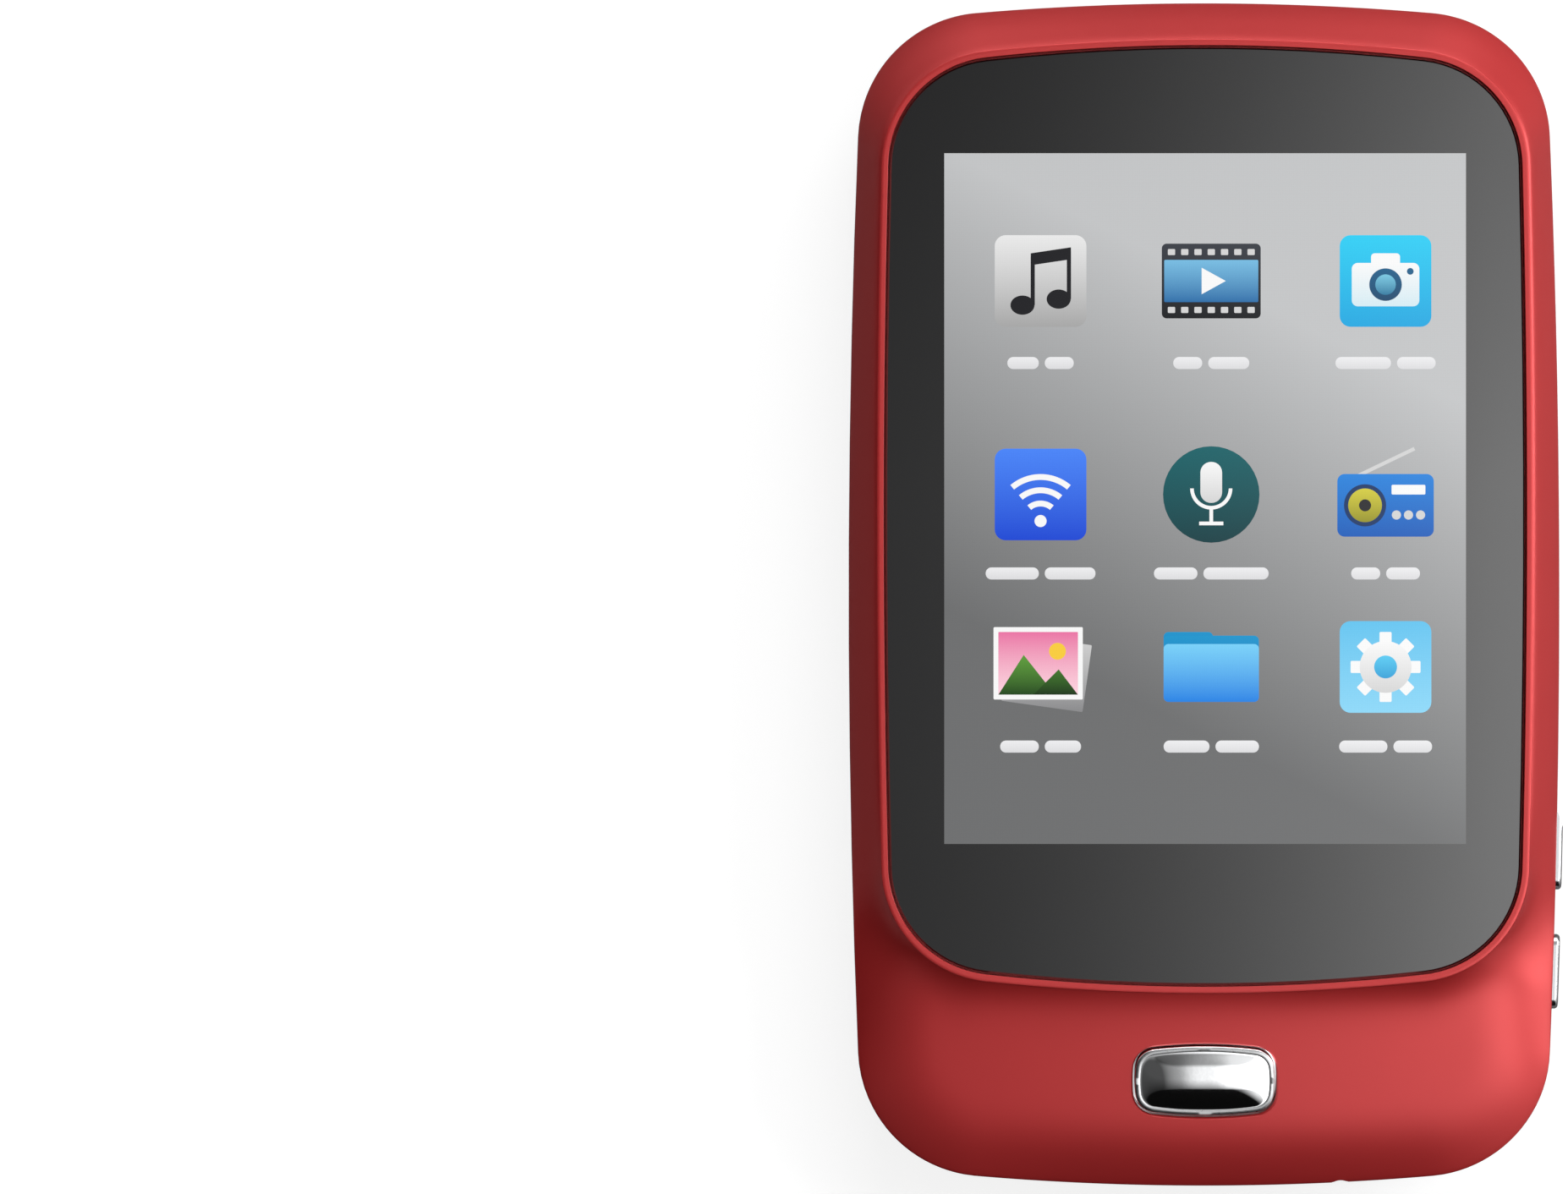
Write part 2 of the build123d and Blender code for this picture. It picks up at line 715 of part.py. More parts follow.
battery_edge_y = battery_y - battery_size[1] / 2
with BuildPart() as battery_leads:
    for lead_x in battery_lead_x:
        with BuildLine() as lead_path:
            Spline(
                (lead_x, battery_edge_y - fit_gap, board_top_z),
                (lead_x, battery_edge_y - 2 * lead_radius, board_top_z + 2 * lead_radius),
                (lead_x, battery_connector_y + connector_depth / 2 + fit_gap, board_top_z + 2 * lead_radius),
                tangents=((0, -1, 0), (0, -1, 0)),
            )
        with BuildSketch(Plane(lead_path.line @ 0, z_dir=lead_path.line % 0)):
            Circle(lead_radius)
        sweep(path=lead_path.line)
save(battery_leads, "battery_leads")

with BuildPart() as battery_connector:
    with Locations((sum(battery_lead_x) / 2, battery_connector_y, board_top_z)):
        Box(4.0, connector_depth, connector_top_z - board_top_z, align=upright)
    chamfer(battery_connector.faces().sort_by(Axis.Z)[-1].edges(), length=chip_bevel)
save(battery_connector, "battery_connector")

with BuildPart() as speaker_mesh:
    with BuildSketch(Plane.XY.offset(floor_z)):
        with Locations(speaker_spot):
            RectangleRounded(*speaker_size, speaker_corner)
    extrude(amount=mesh_thickness)
save(speaker_mesh, "speaker_mesh")

with BuildPart() as speaker_gasket:
    with BuildSketch(Plane.XY.offset(floor_z + mesh_thickness)):
        with Locations(speaker_spot):
            RectangleRounded(*speaker_size, speaker_corner)
            RectangleRounded(
                speaker_size[0] - 2, speaker_size[1] - 2, speaker_corner / 2, mode=Mode.SUBTRACT
            )
    extrude(amount=gasket_thickness)
save(speaker_gasket, "speaker_gasket")

with BuildPart() as speaker:
    with BuildSketch(Plane.XY.offset(floor_z + mesh_thickness + gasket_thickness)):
        with Locations(speaker_spot):
            RectangleRounded(*speaker_size, speaker_corner)
    extrude(amount=speaker_height)
    chamfer(speaker.faces().sort_by(Axis.Z)[-1].edges(), length=3 * chip_bevel)
save(speaker, "speaker")

# Two wires run from the speaker down the left of the battery to the board.
with BuildPart() as speaker_leads:
    for offset_x in (0, 2.2 * lead_radius):
        lead_z = floor_z + tape_thickness + 2 * lead_radius + offset_x
        with BuildLine() as lead_path:
            FilletPolyline(
                (speaker_spot[0] - speaker_size[0] / 2 - fit_gap, speaker_lead_y + offset_x, lead_z),
                (speaker_lead_x, speaker_lead_y + offset_x, lead_z),
                (speaker_lead_x, board_edge_y + fit_gap, lead_z),
                radius=4 * lead_radius,
            )
        with BuildSketch(Plane(lead_path.line @ 0, z_dir=lead_path.line % 0)):
            Circle(lead_radius)
        sweep(path=lead_path.line)
save(speaker_leads, "speaker_leads")

with BuildPart() as camera_ring:
    with Locations((*camera_spot, fit_gap)):
        Cylinder(camera_ring_radius, camera_ring_depth - 2 * fit_gap, align=upright)
        chamfer(camera_ring.faces().sort_by(Axis.Z)[0].edges(), length=chip_bevel)
        Cylinder(camera_window_radius + fit_gap, floor_z, align=upright, mode=Mode.SUBTRACT)
save(camera_ring, "camera_ring")

with BuildPart() as camera_window:
    with Locations((*camera_spot, camera_ring_depth / 4)):
        Cylinder(camera_window_radius, camera_ring_depth / 2, align=upright)
save(camera_window, "camera_window")

with BuildPart() as camera_module:
    with Locations((*camera_spot, camera_ring_depth + fit_gap)):
        Cylinder(camera_barrel_radius, 2 * camera_ring_depth, align=upright)
        Cylinder(camera_lens_radius, camera_ring_depth / 2, align=upright, mode=Mode.SUBTRACT)
    with Locations((*camera_spot, floor_z + fit_gap)):
        Box(camera_size, camera_size, camera_top_z - floor_z, align=upright)
save(camera_module, "camera_module")

with BuildPart() as camera_flex:
    high_z = camera_top_z + flex_thickness + 2 * fit_gap
    low_z = connector_top_z + flex_thickness + fit_gap
    add(
        ribbon(
            [
                (camera_spot[1] + camera_size / 4, high_z),
                (board_edge_y - flex_bend, high_z),
                (board_edge_y - 2 * flex_bend, low_z),
                (camera_connector_y - connector_depth / 4, low_z),
            ],
            Plane.YZ.offset(camera_spot[0]),
            camera_size / 2,
        )
    )
save(camera_flex, "camera_flex")

# ---------------------------------------------------------------- controls
def side_key(y_range, is_up):
    """A key with a retaining flange inside the wall; the up key ramps down to the trim bar beside it."""
    middle = (y_range[0] + y_range[1]) / 2
    flange_x = key_flange_x(y_range)
    with BuildPart() as key:
        with BuildSketch(Plane.XY.offset(parting_z - side_key_height)):
            add(body_shape(side_key_proud))
        extrude(amount=2 * side_key_height)
        add(side_prism(y_range, side_key_height, flange_x + fit_gap, int(is_up)), mode=Mode.INTERSECT)
        fillet(key.faces().sort_by(Axis.X)[-1].edges(), radius=side_key_round)
        if is_up:
            ramp_y = y_range[1] - key_ramp_length
            beyond_x = side_x(ramp_y) + side_key_proud + wall
            with BuildSketch(Plane.XY.offset(parting_z - side_key_height)):
                Polygon(
                    (side_x(ramp_y) + side_key_proud, ramp_y),
                    (side_x(y_range[1]) + key_ramp_foot, y_range[1]),
                    (beyond_x, y_range[1]),
                    (beyond_x, ramp_y),
                    align=None,
                )
            extrude(amount=2 * side_key_height, mode=Mode.SUBTRACT)
        with BuildSketch(Plane(origin=(flange_x, middle, parting_z), x_dir=(0, 1, 0), z_dir=(1, 0, 0))):
            SlotOverall(y_range[1] - y_range[0] + 2 * side_key_flange, side_key_height + 2 * side_key_flange)
        extrude(amount=side_key_flange)
        with Locations((side_x(middle) + side_key_proud, middle, parting_z)):
            Box(2 * mark_depth, mark_length, mark_width, mode=Mode.SUBTRACT)
            if is_up:
                Box(2 * mark_depth, mark_width, mark_length, mode=Mode.SUBTRACT)
    return key


volume_up_button = side_key(volume_up_y, True)
save(volume_up_button, "volume_up_button")
volume_down_button = side_key(volume_down_y, False)
save(volume_down_button, "volume_down_button")


def key_switch(y_range):
    """The switch body behind a volume key and its plunger."""
    middle = (y_range[0] + y_range[1]) / 2
    tip_x = key_flange_x(y_range) - fit_gap
    face_x = tip_x - 1.5 * side_key_travel
    center_z = board_top_z + key_switch_size[2] / 2
    with BuildPart() as housing:
        with Locations((face_x, middle, board_top_z)):
            Box(*key_switch_size, align=(Align.MAX, Align.CENTER, Align.MIN))
        with Locations((face_x, middle, center_z)):
            Box(
                3 * side_key_travel,
                plunger_size[0] + 2 * fit_gap,
                plunger_size[1] + 2 * fit_gap,
                align=(Align.MAX, Align.CENTER, Align.CENTER),
                mode=Mode.SUBTRACT,
            )
    with BuildPart() as plunger:
        with Locations((tip_x, middle, center_z)):
            Box(3 * side_key_travel, *plunger_size, align=(Align.MAX, Align.CENTER, Align.CENTER))
    return housing, plunger


volume_up_switch, volume_up_plunger = key_switch(volume_up_y)
save(volume_up_switch, "volume_up_switch")
save(volume_up_plunger, "volume_up_plunger")
volume_down_switch, volume_down_plunger = key_switch(volume_down_y)
save(volume_down_switch, "volume_down_switch")
save(volume_down_plunger, "volume_down_plunger")

with BuildPart() as home_button:
    with BuildSketch(home_plane.offset(-wall - socket_gap)):
        add(home_shape())
    extrude(amount=wall + home_proud / 2)
    chamfer(home_button.faces().sort_by(Axis.Z)[-1].edges(), length=home_proud / 2 - fit_gap)
    # The domed middle of the button's face.
    for height, inset in ((-wall / 2, home_border), (home_proud / 4, home_border), (home_proud, 3 * home_border)):
        with BuildSketch(home_plane.offset(height)):
            add(home_shape(-inset))
    loft(ruled=True)
    with BuildSketch(home_plane.offset(-wall - home_flange - socket_gap)):
        add(home_shape(home_flange))
    extrude(amount=home_flange)
    with BuildSketch(home_plane.offset(-home_stem_length)):
        Circle(home_stem_radius)
    extrude(amount=home_stem_length - wall)
save(home_button, "home_button")

stem_low_z = home_z - home_stem_length * cos(radians(chin_tilt)) - home_stem_radius * sin(radians(chin_tilt))
stem_y = home_y + home_stem_length * sin(radians(chin_tilt))
with BuildPart() as home_switch:
    with Locations((0, stem_y, board_top_z)):
        Box(*home_switch_size, align=upright)
    with Locations((0, stem_y, board_top_z + home_switch_size[2])):
        Cylinder(
            home_plunger_radius + fit_gap,
            3 * side_key_travel,
            align=(Align.CENTER, Align.CENTER, Align.MAX),
            mode=Mode.SUBTRACT,
        )
save(home_switch, "home_switch")

with BuildPart() as home_plunger:
    with Locations((0, stem_y, stem_low_z - fit_gap)):
        Cylinder(
            home_plunger_radius,
            stem_low_z - board_top_z - home_switch_size[2] + side_key_travel,
            align=(Align.CENTER, Align.CENTER, Align.MAX),
        )
save(home_plunger, "home_plunger")
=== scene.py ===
import json
import math

import bmesh
import bpy
import numpy as np
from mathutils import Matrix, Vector


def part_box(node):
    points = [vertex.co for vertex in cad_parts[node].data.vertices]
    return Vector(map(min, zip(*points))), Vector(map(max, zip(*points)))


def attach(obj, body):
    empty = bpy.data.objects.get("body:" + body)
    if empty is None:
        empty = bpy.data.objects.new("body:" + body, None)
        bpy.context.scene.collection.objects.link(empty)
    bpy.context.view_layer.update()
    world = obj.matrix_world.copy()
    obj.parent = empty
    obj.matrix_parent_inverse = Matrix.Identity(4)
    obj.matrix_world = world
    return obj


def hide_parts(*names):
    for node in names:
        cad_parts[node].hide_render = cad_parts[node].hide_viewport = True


# A pocket digital audio player with a 2.8 inch touch display, lying on its back on a pale floor.
# Lengths are written in millimetres and scaled by MM where a mesh, lamp or camera is made.
# +X is the side with the volume keys, +Y the top end, +Z out of the screen.

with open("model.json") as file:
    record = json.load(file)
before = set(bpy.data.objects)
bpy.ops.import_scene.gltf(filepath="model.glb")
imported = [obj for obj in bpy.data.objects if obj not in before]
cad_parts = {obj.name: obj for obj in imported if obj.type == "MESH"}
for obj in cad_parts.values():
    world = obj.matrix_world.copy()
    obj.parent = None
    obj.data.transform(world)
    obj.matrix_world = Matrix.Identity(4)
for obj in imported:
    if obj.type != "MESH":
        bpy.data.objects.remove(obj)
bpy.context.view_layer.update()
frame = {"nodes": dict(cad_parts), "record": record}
MM = 0.001


def cad_box(node):
    """A CAD node's lowest and highest corners in millimetres."""
    low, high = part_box(node)
    return low / MM, high / MM


# ---------------------------------------------------------------- sizes, read from the frame
cover_low, cover_high = cad_box("back_cover")
lens_low, lens_high = cad_box("touch_panel")
housing_high = cad_box("front_housing")[1]
display_high = cad_box("display_panel")[1]

BODY_X = -cover_low.x
BODY_Y = cover_high.y
PARTING_Z = cover_high.z
RIM_Z = housing_high.z
LENS_X = lens_high.x
LENS_Y = (lens_high.y - lens_low.y) / 2
LENS_CENTER_Y = (lens_high.y + lens_low.y) / 2
LENS_Z = lens_high.z
DISPLAY_Z = display_high.z
SCREEN_Z = DISPLAY_Z + 1.0

# ---------------------------------------------------------------- sizes of the details
# Bows are how far the sides and the ends of an outline swell; corners are radii.
BODY_BOWS, BODY_CORNER = (1.2, 1.8), 10.7
LENS_BOWS, LENS_CORNER = (0.6, 2.1), 8.95
HOME_HALF, HOME_BOWS, HOME_CORNER = (5.8, 2.9), (0.25, 0.45), 1.7
HOME_Y = -40.3
HOME_DOME = 0.42
HOME_BORDER = 0.47
HOME_SEAT = 0.13

# The red shell. Rim distances are outwards from the panel's edge.
DECK_Z = 10.4
BELT_Z = 7.35
WALL = 1.5
EDGE_ROUND = 0.03
POCKET_GAP = 0.17
RIM_INNER, RIM_OUTER = 0.22, 0.75
LEDGE_WIDTH = 3.5
CHIN_TILT = math.radians(8.0)
CHIN_START_Y = -33.8
CHIN_CROWN = 1.0
CHIN_BLEND = 6.0

# Side keys and trim: height, and where each starts and stops along Y.
SIDE_KEY_HEIGHT = 1.8
VOLUME_UP_Y = (-24.5, -18.1)
VOLUME_DOWN_Y = (-34.4, -28.2)
TRIM_Y = (-18.0, 24.6)
KEY_GAP, TRIM_GAP = 0.1, 0.03

# Bottom openings: x, z and then half width, half height and corner radius.
JACK = (11.3, 5.3, 1.8, 1.8, 1.799)
USB = (-12.4, 5.5, 3.7, 1.35, 0.9)
MIC = (2.9, 6.05, 0.65, 0.45, 0.44)

# The display's lit area.
ACTIVE_HALF = (21.6, 28.6)
ACTIVE_CENTER_Y = 7.95
COLUMNS_OF_PIXELS = 240

# The overhead card: its corners and its height.
CARD_LOW, CARD_HIGH, CARD_Z = (-1200.0, -870.0), (1200.0, 1030.0), 1600.0


# ---------------------------------------------------------------- outlines
def bowed_outline(half, bows, corner, center_y=0.0, grow=0.0, steps=(24, 24, 20)):
    """Points anticlockwise round a rectangle whose sides and ends bow outwards, with round corners.

    steps are the point counts along half a side, round a corner and along half an end, so that
    outlines made with the same steps match point for point."""
    half_x, half_y = half[0] + grow, half[1] + grow
    bow_x, bow_y = bows
    radius = corner + grow
    side_radius = ((half_y - bow_y) ** 2 + bow_x**2) / (2 * bow_x)
    end_radius = ((half_x - bow_x) ** 2 + bow_y**2) / (2 * bow_y)
    side_center = np.array([half_x - side_radius, 0.0])
    end_center = np.array([0.0, half_y - end_radius])
    # The corner circle touches both arcs from inside.
    reach_side, reach_end = side_radius - radius, end_radius - radius
    gap = end_center - side_center
    span = np.linalg.norm(gap)
    along = (reach_side**2 - reach_end**2 + span**2) / (2 * span)
    across = math.sqrt(reach_side**2 - along**2)
    unit = gap / span
    corner_center = side_center + unit * along + np.array([unit[1], -unit[0]]) * across
    if corner_center[0] < 0:
        corner_center = side_center + unit * along - np.array([unit[1], -unit[0]]) * across
    side_end = math.atan2(*(corner_center - side_center)[::-1])
    end_start = math.atan2(*(corner_center - end_center)[::-1])
    quarter = []
    for center, r, start, stop, count in (
        (side_center, side_radius, 0.0, side_end, steps[0]),
        (corner_center, radius, side_end, end_start, steps[1]),
        (end_center, end_radius, end_start, math.pi / 2, steps[2]),
    ):
        for angle in np.linspace(start, stop, count, endpoint=False):
            quarter.append(center + r * np.array([math.cos(angle), math.sin(angle)]))
    quarter = np.array(quarter)
    top = np.array([[0.0, half_y]])
    upper = np.vstack([quarter, top, quarter[:0:-1] * [-1, 1]])
    near_left = [quarter[:1] * [-1, 1], quarter[1:] * [-1, -1]]
    near_right = [top * [1, -1], quarter[:0:-1] * [1, -1]]
    lower = np.vstack(near_left + near_right)
    return np.vstack([upper, lower]) + [0.0, center_y]


def body_outline(grow=0.0):
    return bowed_outline((BODY_X, BODY_Y), BODY_BOWS, BODY_CORNER, 0.0, grow, (80, 80, 60))


def lens_outline(grow=0.0):
    return bowed_outline((LENS_X, LENS_Y), LENS_BOWS, LENS_CORNER, LENS_CENTER_Y, grow, (26, 54, 24))


def home_outline(grow=0.0):
    return bowed_outline(HOME_HALF, HOME_BOWS, HOME_CORNER, 0.0, grow, (10, 12, 12))


def outward(loop):
    """Unit normals that point out of an anticlockwise loop."""
    tangent = np.roll(loop, -1, axis=0) - np.roll(loop, 1, axis=0)
    tangent /= np.linalg.norm(tangent, axis=1)[:, None]
    return np.column_stack([tangent[:, 1], -tangent[:, 0]])


def cast(start, outline):
    """Where rays out of the start loop, along its normals, meet the outline."""
    ends = []
    following = np.roll(outline, -1, axis=0)
    for point, (nx, ny) in zip(start, outward(start)):
        here = (outline - point) @ np.array([[nx, -ny], [ny, nx]])
        there = (following - point) @ np.array([[nx, -ny], [ny, nx]])
        crossing = np.flatnonzero((here[:, 1] * there[:, 1] <= 0) & (here[:, 0] > 0) & (there[:, 0] > 0))[0]
        part = here[crossing, 1] / (here[crossing, 1] - there[crossing, 1])
        ends.append(outline[crossing] + (following[crossing] - outline[crossing]) * part)
    return np.array(ends)


def distance(points, outline):
    """Shortest distance from each point to a closed outline."""
    best = np.full(len(points), 1e9)
    for start, stop in zip(outline, np.roll(outline, -1, axis=0)):
        edge = stop - start
        along = np.clip((points - start) @ edge / (edge @ edge), 0.0, 1.0)
        best = np.minimum(best, np.linalg.norm(points - start - along[:, None] * edge, axis=1))
    return best


def rounded_rectangle(half_x, half_y, radius, count=8):
    """Points anticlockwise round a rectangle; count is the number of points on each corner."""
    points = []
    for quadrant in range(4):
        sign_x = (1, -1, -1, 1)[quadrant]
        sign_y = (1, 1, -1, -1)[quadrant]
        for angle in np.linspace(0, math.pi / 2, count) + quadrant * math.pi / 2:
            points.append(
                (
                    sign_x * (half_x - radius) + radius * math.cos(angle),
                    sign_y * (half_y - radius) + radius * math.sin(angle),
                )
            )
    return np.array(points)


# ---------------------------------------------------------------- mesh helpers
def mesh_object(name, vertices, faces):
    """An object from vertices in millimetres, with faces turned outwards."""
    mesh = bpy.data.meshes.new(name)
    mesh.from_pydata([Vector(v) * MM for v in vertices], [], faces)
    bm = bmesh.new()
    bm.from_mesh(mesh)
    bmesh.ops.recalc_face_normals(bm, faces=bm.faces)
    bm.to_mesh(mesh)
    bm.free()
    obj = bpy.data.objects.new(name, mesh)
    bpy.context.scene.collection.objects.link(obj)
    return obj


def loop_shell(name, loops, close_start=False, close_end=False, joined=False):
    """A skin through matching closed loops of points; the ends may be capped, or joined to each other."""
    count = len(loops[0])
    vertices = [tuple(point) for loop in loops for point in loop]
    faces = []
    pairs = [(row, row + 1) for row in range(len(loops) - 1)]
    if joined:
        pairs.append((len(loops) - 1, 0))
    for low, high in pairs:
        for i in range(count):
            j = (i + 1) % count
            faces.append((low * count + i, low * count + j, high * count + j, high * count + i))
    if close_start:
        faces.append(tuple(range(count)))
    if close_end:
        faces.append(tuple((len(loops) - 1) * count + i for i in range(count)))
    return mesh_object(name, vertices, faces)


def prism(name, outline, origin, x_axis, normal, depth):
    """A prism: the outline in the plane at origin, pushed this far along the normal."""
    x_axis, normal = Vector(x_axis).normalized(), Vector(normal).normalized()
    y_axis = normal.cross(x_axis)
    base = [Vector(origin) + x_axis * x + y_axis * y for x, y in outline]
    return loop_shell(name, [base, [p + normal * depth for p in base]], True, True)


def cut(target, cutter):
    """Subtract the cutter from the target and delete the cutter."""
    modifier = target.modifiers.new("cut", "BOOLEAN")
    modifier.operation = "DIFFERENCE"
    modifier.solver = "EXACT"
    modifier.object = cutter
    apply_modifiers(target)
    bpy.data.objects.remove(cutter)


def apply_modifiers(obj):
    """Bake the object's modifiers into its mesh."""
    graph = bpy.context.evaluated_depsgraph_get()
    mesh = bpy.data.meshes.new_from_object(obj.evaluated_get(graph))
    obj.modifiers.clear()
    obj.data = mesh


def shade_smooth(obj, angle_degrees):
    """Smooth shading that keeps edges sharper than this angle crisp."""
    mesh = obj.data
    mesh.polygons.foreach_set("use_smooth", [True] * len(mesh.polygons))
    bm = bmesh.new()
    bm.from_mesh(mesh)
    limit = math.radians(angle_degrees)
    for edge in bm.edges:
        edge.smooth = edge.calc_face_angle(0.0) < limit
    bm.to_mesh(mesh)
    bm.free()


# ---------------------------------------------------------------- front shell
def smoothstep(low, high, value):
    t = np.clip((value - low) / (high - low), 0.0, 1.0)
    return t * t * (3 - 2 * t)


def skin_height(points, rim, edge):
    """Height of the red skin: a steep bank where the wall is narrow, a soft roll where it is broad.

    rim and edge are the outlines it runs between, with a small cove where it meets the rim."""
    inset, gap = distance(points, edge), distance(points, rim)
    span = inset + gap
    broad = smoothstep(2.6, 6.5, span)
    width = span * 1.07 * (1 - broad) + 7.0 * broad
    power = 1.35 + 1.5 * broad
    slope = math.tan(CHIN_TILT)
    # The chin tips down gradually and passes through the home button's seat.
    fall = (CHIN_START_Y - points[:, 1] + np.hypot(CHIN_START_Y - points[:, 1], CHIN_BLEND)) / 2
    crown = CHIN_CROWN * (points[:, 0] / BODY_X) ** 2 * smoothstep(-16.0, -34.0, points[:, 1])
    top = DECK_Z + 0.13 - slope * fall - crown
    part = np.clip(inset / width, 0, 1)
    # The square root starts the bank upright, so it meets the belt in a small round edge.
    eased = np.sqrt(part * (part + 2 * EDGE_ROUND)) / math.sqrt(1 + 2 * EDGE_ROUND)
    belt = belt_height(points)
    height = belt + (top - belt) * (1 - (1 - eased) ** power)
    cove = np.exp(-gap / (0.4 + 1.0 * broad)) * (1 - smoothstep(0.0, 1.0, gap / span))
    return height + (RIM_Z - 0.06 - height) * cove


def belt_height(points):
    """Top of the upright wall, a little lower round the bottom end."""
    return BELT_Z - 0.4 * smoothstep(-40.0, -48.0, points[:, 1])


def shell_loops():
    """Loops of the red shell: window, pocket, rim, skin, parting edge and hollow."""
    window, pocket = lens_outline(-LEDGE_WIDTH), lens_outline(POCKET_GAP)
    rim_inner, rim_outer = lens_outline(RIM_INNER), lens_outline(RIM_OUTER)
    body = body_outline()
    parting = cast(rim_outer, body)
    normal = outward(parting)
    inner = parting - normal * WALL
    ledge_z, ceiling_z = LENS_Z - 1.35, LENS_Z - 2.1

    def flat(outline, z):
        heights = np.broadcast_to(z, (len(outline),))
        return np.column_stack([outline, heights])

    rim_round = [
        flat(lens_outline(0.18), RIM_Z - 0.05),
        flat(rim_inner, RIM_Z),
        flat((rim_inner + rim_outer) / 2, RIM_Z),
        flat(lens_outline(0.7), RIM_Z),
        flat(lens_outline(0.735), RIM_Z - 0.02),
    ]
    rows = []
    steps = np.linspace(0, 1, 56)
    for t in steps - 0.12 * np.sin(2 * math.pi * steps):
        points = rim_outer + (parting - rim_outer) * t
        rows.append(flat(points, skin_height(points, rim_outer, body)))
    belt = belt_height(parting)
    edge = [(0.0, 0.7), (0.0, 0.35), (0.0, 0.08), (0.05, 0.0)]
    wall = [flat(parting - normal * inset, PARTING_Z + (belt - PARTING_Z) * part) for inset, part in edge]
    hollow = []
    for t in np.linspace(0, 1, 12):
        points = inner + (window - inner) * t
        ceiling = np.minimum(ceiling_z, skin_height(points, rim_outer, body) - WALL * 0.8)
        height = PARTING_Z + (ceiling - PARTING_Z) * smoothstep(-0.05, 0.12, t)
        hollow.append(flat(points, PARTING_Z if t == 0 else height))
    return [flat(window, ledge_z), flat(pocket, ledge_z), *rim_round, *rows, *wall, *hollow]


def pill_outline(y_range, grow, square_end=0):
    """A pill along Y; 1 or -1 squares its top or bottom end."""
    half = (y_range[1] - y_range[0]) / 2 + grow
    height = SIDE_KEY_HEIGHT / 2 + grow
    outline = rounded_rectangle(half, height, height - 0.001, 10)
    if square_end:
        square = outline[:, 0] * square_end > half - height
        outline[square] = np.column_stack([outline[square, 0] * 0 + square_end * half, outline[square, 1]])
    return outline


def home_frame():
    """Origin, cross axis and outward normal of the home button's seat on the chin."""
    z = DECK_Z - math.tan(CHIN_TILT) * (CHIN_START_Y - HOME_Y)
    origin = Vector((0, HOME_Y, z))
    normal = Vector((0, -math.sin(CHIN_TILT), math.cos(CHIN_TILT)))
    return origin, Vector((1, 0, 0)), normal


def front_shell():
    shell = loop_shell("front_shell", shell_loops(), joined=True)
    origin, across, normal = home_frame()
    up = normal.cross(across)
    loops = []
    for grow, height in ((0.17, -3.0), (0.17, -0.2), (0.42, 0.05), (0.42, 1.0)):
        loops.append([origin + across * x + up * y + normal * height for x, y in home_outline(grow)])
    cut(shell, loop_shell("home_cutter", loops, True, True))
    for y_range, square_end in ((VOLUME_UP_Y, 1), (VOLUME_DOWN_Y, 0)):
        center = (BODY_X - 6, sum(y_range) / 2, PARTING_Z)
        outline = pill_outline(y_range, KEY_GAP, square_end)
        cut(shell, prism("key_cutter", outline, center, (0, 1, 0), (1, 0, 0), 12))
    center = (BODY_X - 1.4, sum(TRIM_Y) / 2, PARTING_Z)
    cut(shell, prism("trim_cutter", pill_outline(TRIM_Y, TRIM_GAP, -1), center, (0, 1, 0), (1, 0, 0), 6))
    for (x, z, *shape), count in ((JACK, 16), (USB, 8), (MIC, 8)):
        outline = rounded_rectangle(*shape, count)
        cut(shell, prism("socket_cutter", outline, (x, -BODY_Y + 4, z), (1, 0, 0), (0, -1, 0), 12))
    shade_smooth(shell, 40)
    return shell


# ---------------------------------------------------------------- home button
def home_cap():
    """The chrome key: stem, flange, skirt, bevelled flat border and domed middle."""
    origin, across, normal = home_frame()
    up = normal.cross(across)

    def ring(outline, height):
        heights = np.broadcast_to(height, (len(outline),))
        return [origin + across * x + up * y + normal * float(h) for (x, y), h in zip(outline, heights)]

    stem = home_outline()
    angles = np.arctan2(stem[:, 1], stem[:, 0])
    stem = np.column_stack([np.cos(angles), np.sin(angles)]) * 0.9
    loops = [ring(stem, -3.1), ring(stem, -2.2)]
    flange = ((0.6, -2.2), (0.6, -1.6))
    skirt = ((0.0, -1.6), (0.0, 0.02))
    border = ((-0.03, 0.08), (-0.08, 0.12), (-0.4, 0.14), (-0.42, HOME_SEAT), (-0.44, HOME_SEAT))
    for grow, height in flange + skirt + border:
        loops.append(ring(home_outline(grow), height))
    for t in np.linspace(0.0, 0.98, 26):
        points = home_outline(-HOME_BORDER) * (1 - t)
        across_part = np.abs(points[:, 0]) / (HOME_HALF[0] - HOME_BORDER)
        up_part = np.abs(points[:, 1]) / (HOME_HALF[1] - HOME_BORDER)
        # A pillow: nearly level along its length, round over its width.
        dome = HOME_DOME * (1 - across_part**4) * (1 - up_part**2) * (1 - (1 - t) ** 8)
        loops.append(ring(points, HOME_SEAT + dome))
    cap = loop_shell("home_key_cap", loops, True, True)
    # The second finish is the satin border between the bevel and the dome.
    count = len(loops[0])
    for row in range(6, 10):
        for polygon in cap.data.polygons[row * count : (row + 1) * count]:
            polygon.material_index = 1
    shade_smooth(cap, 35)
    return cap


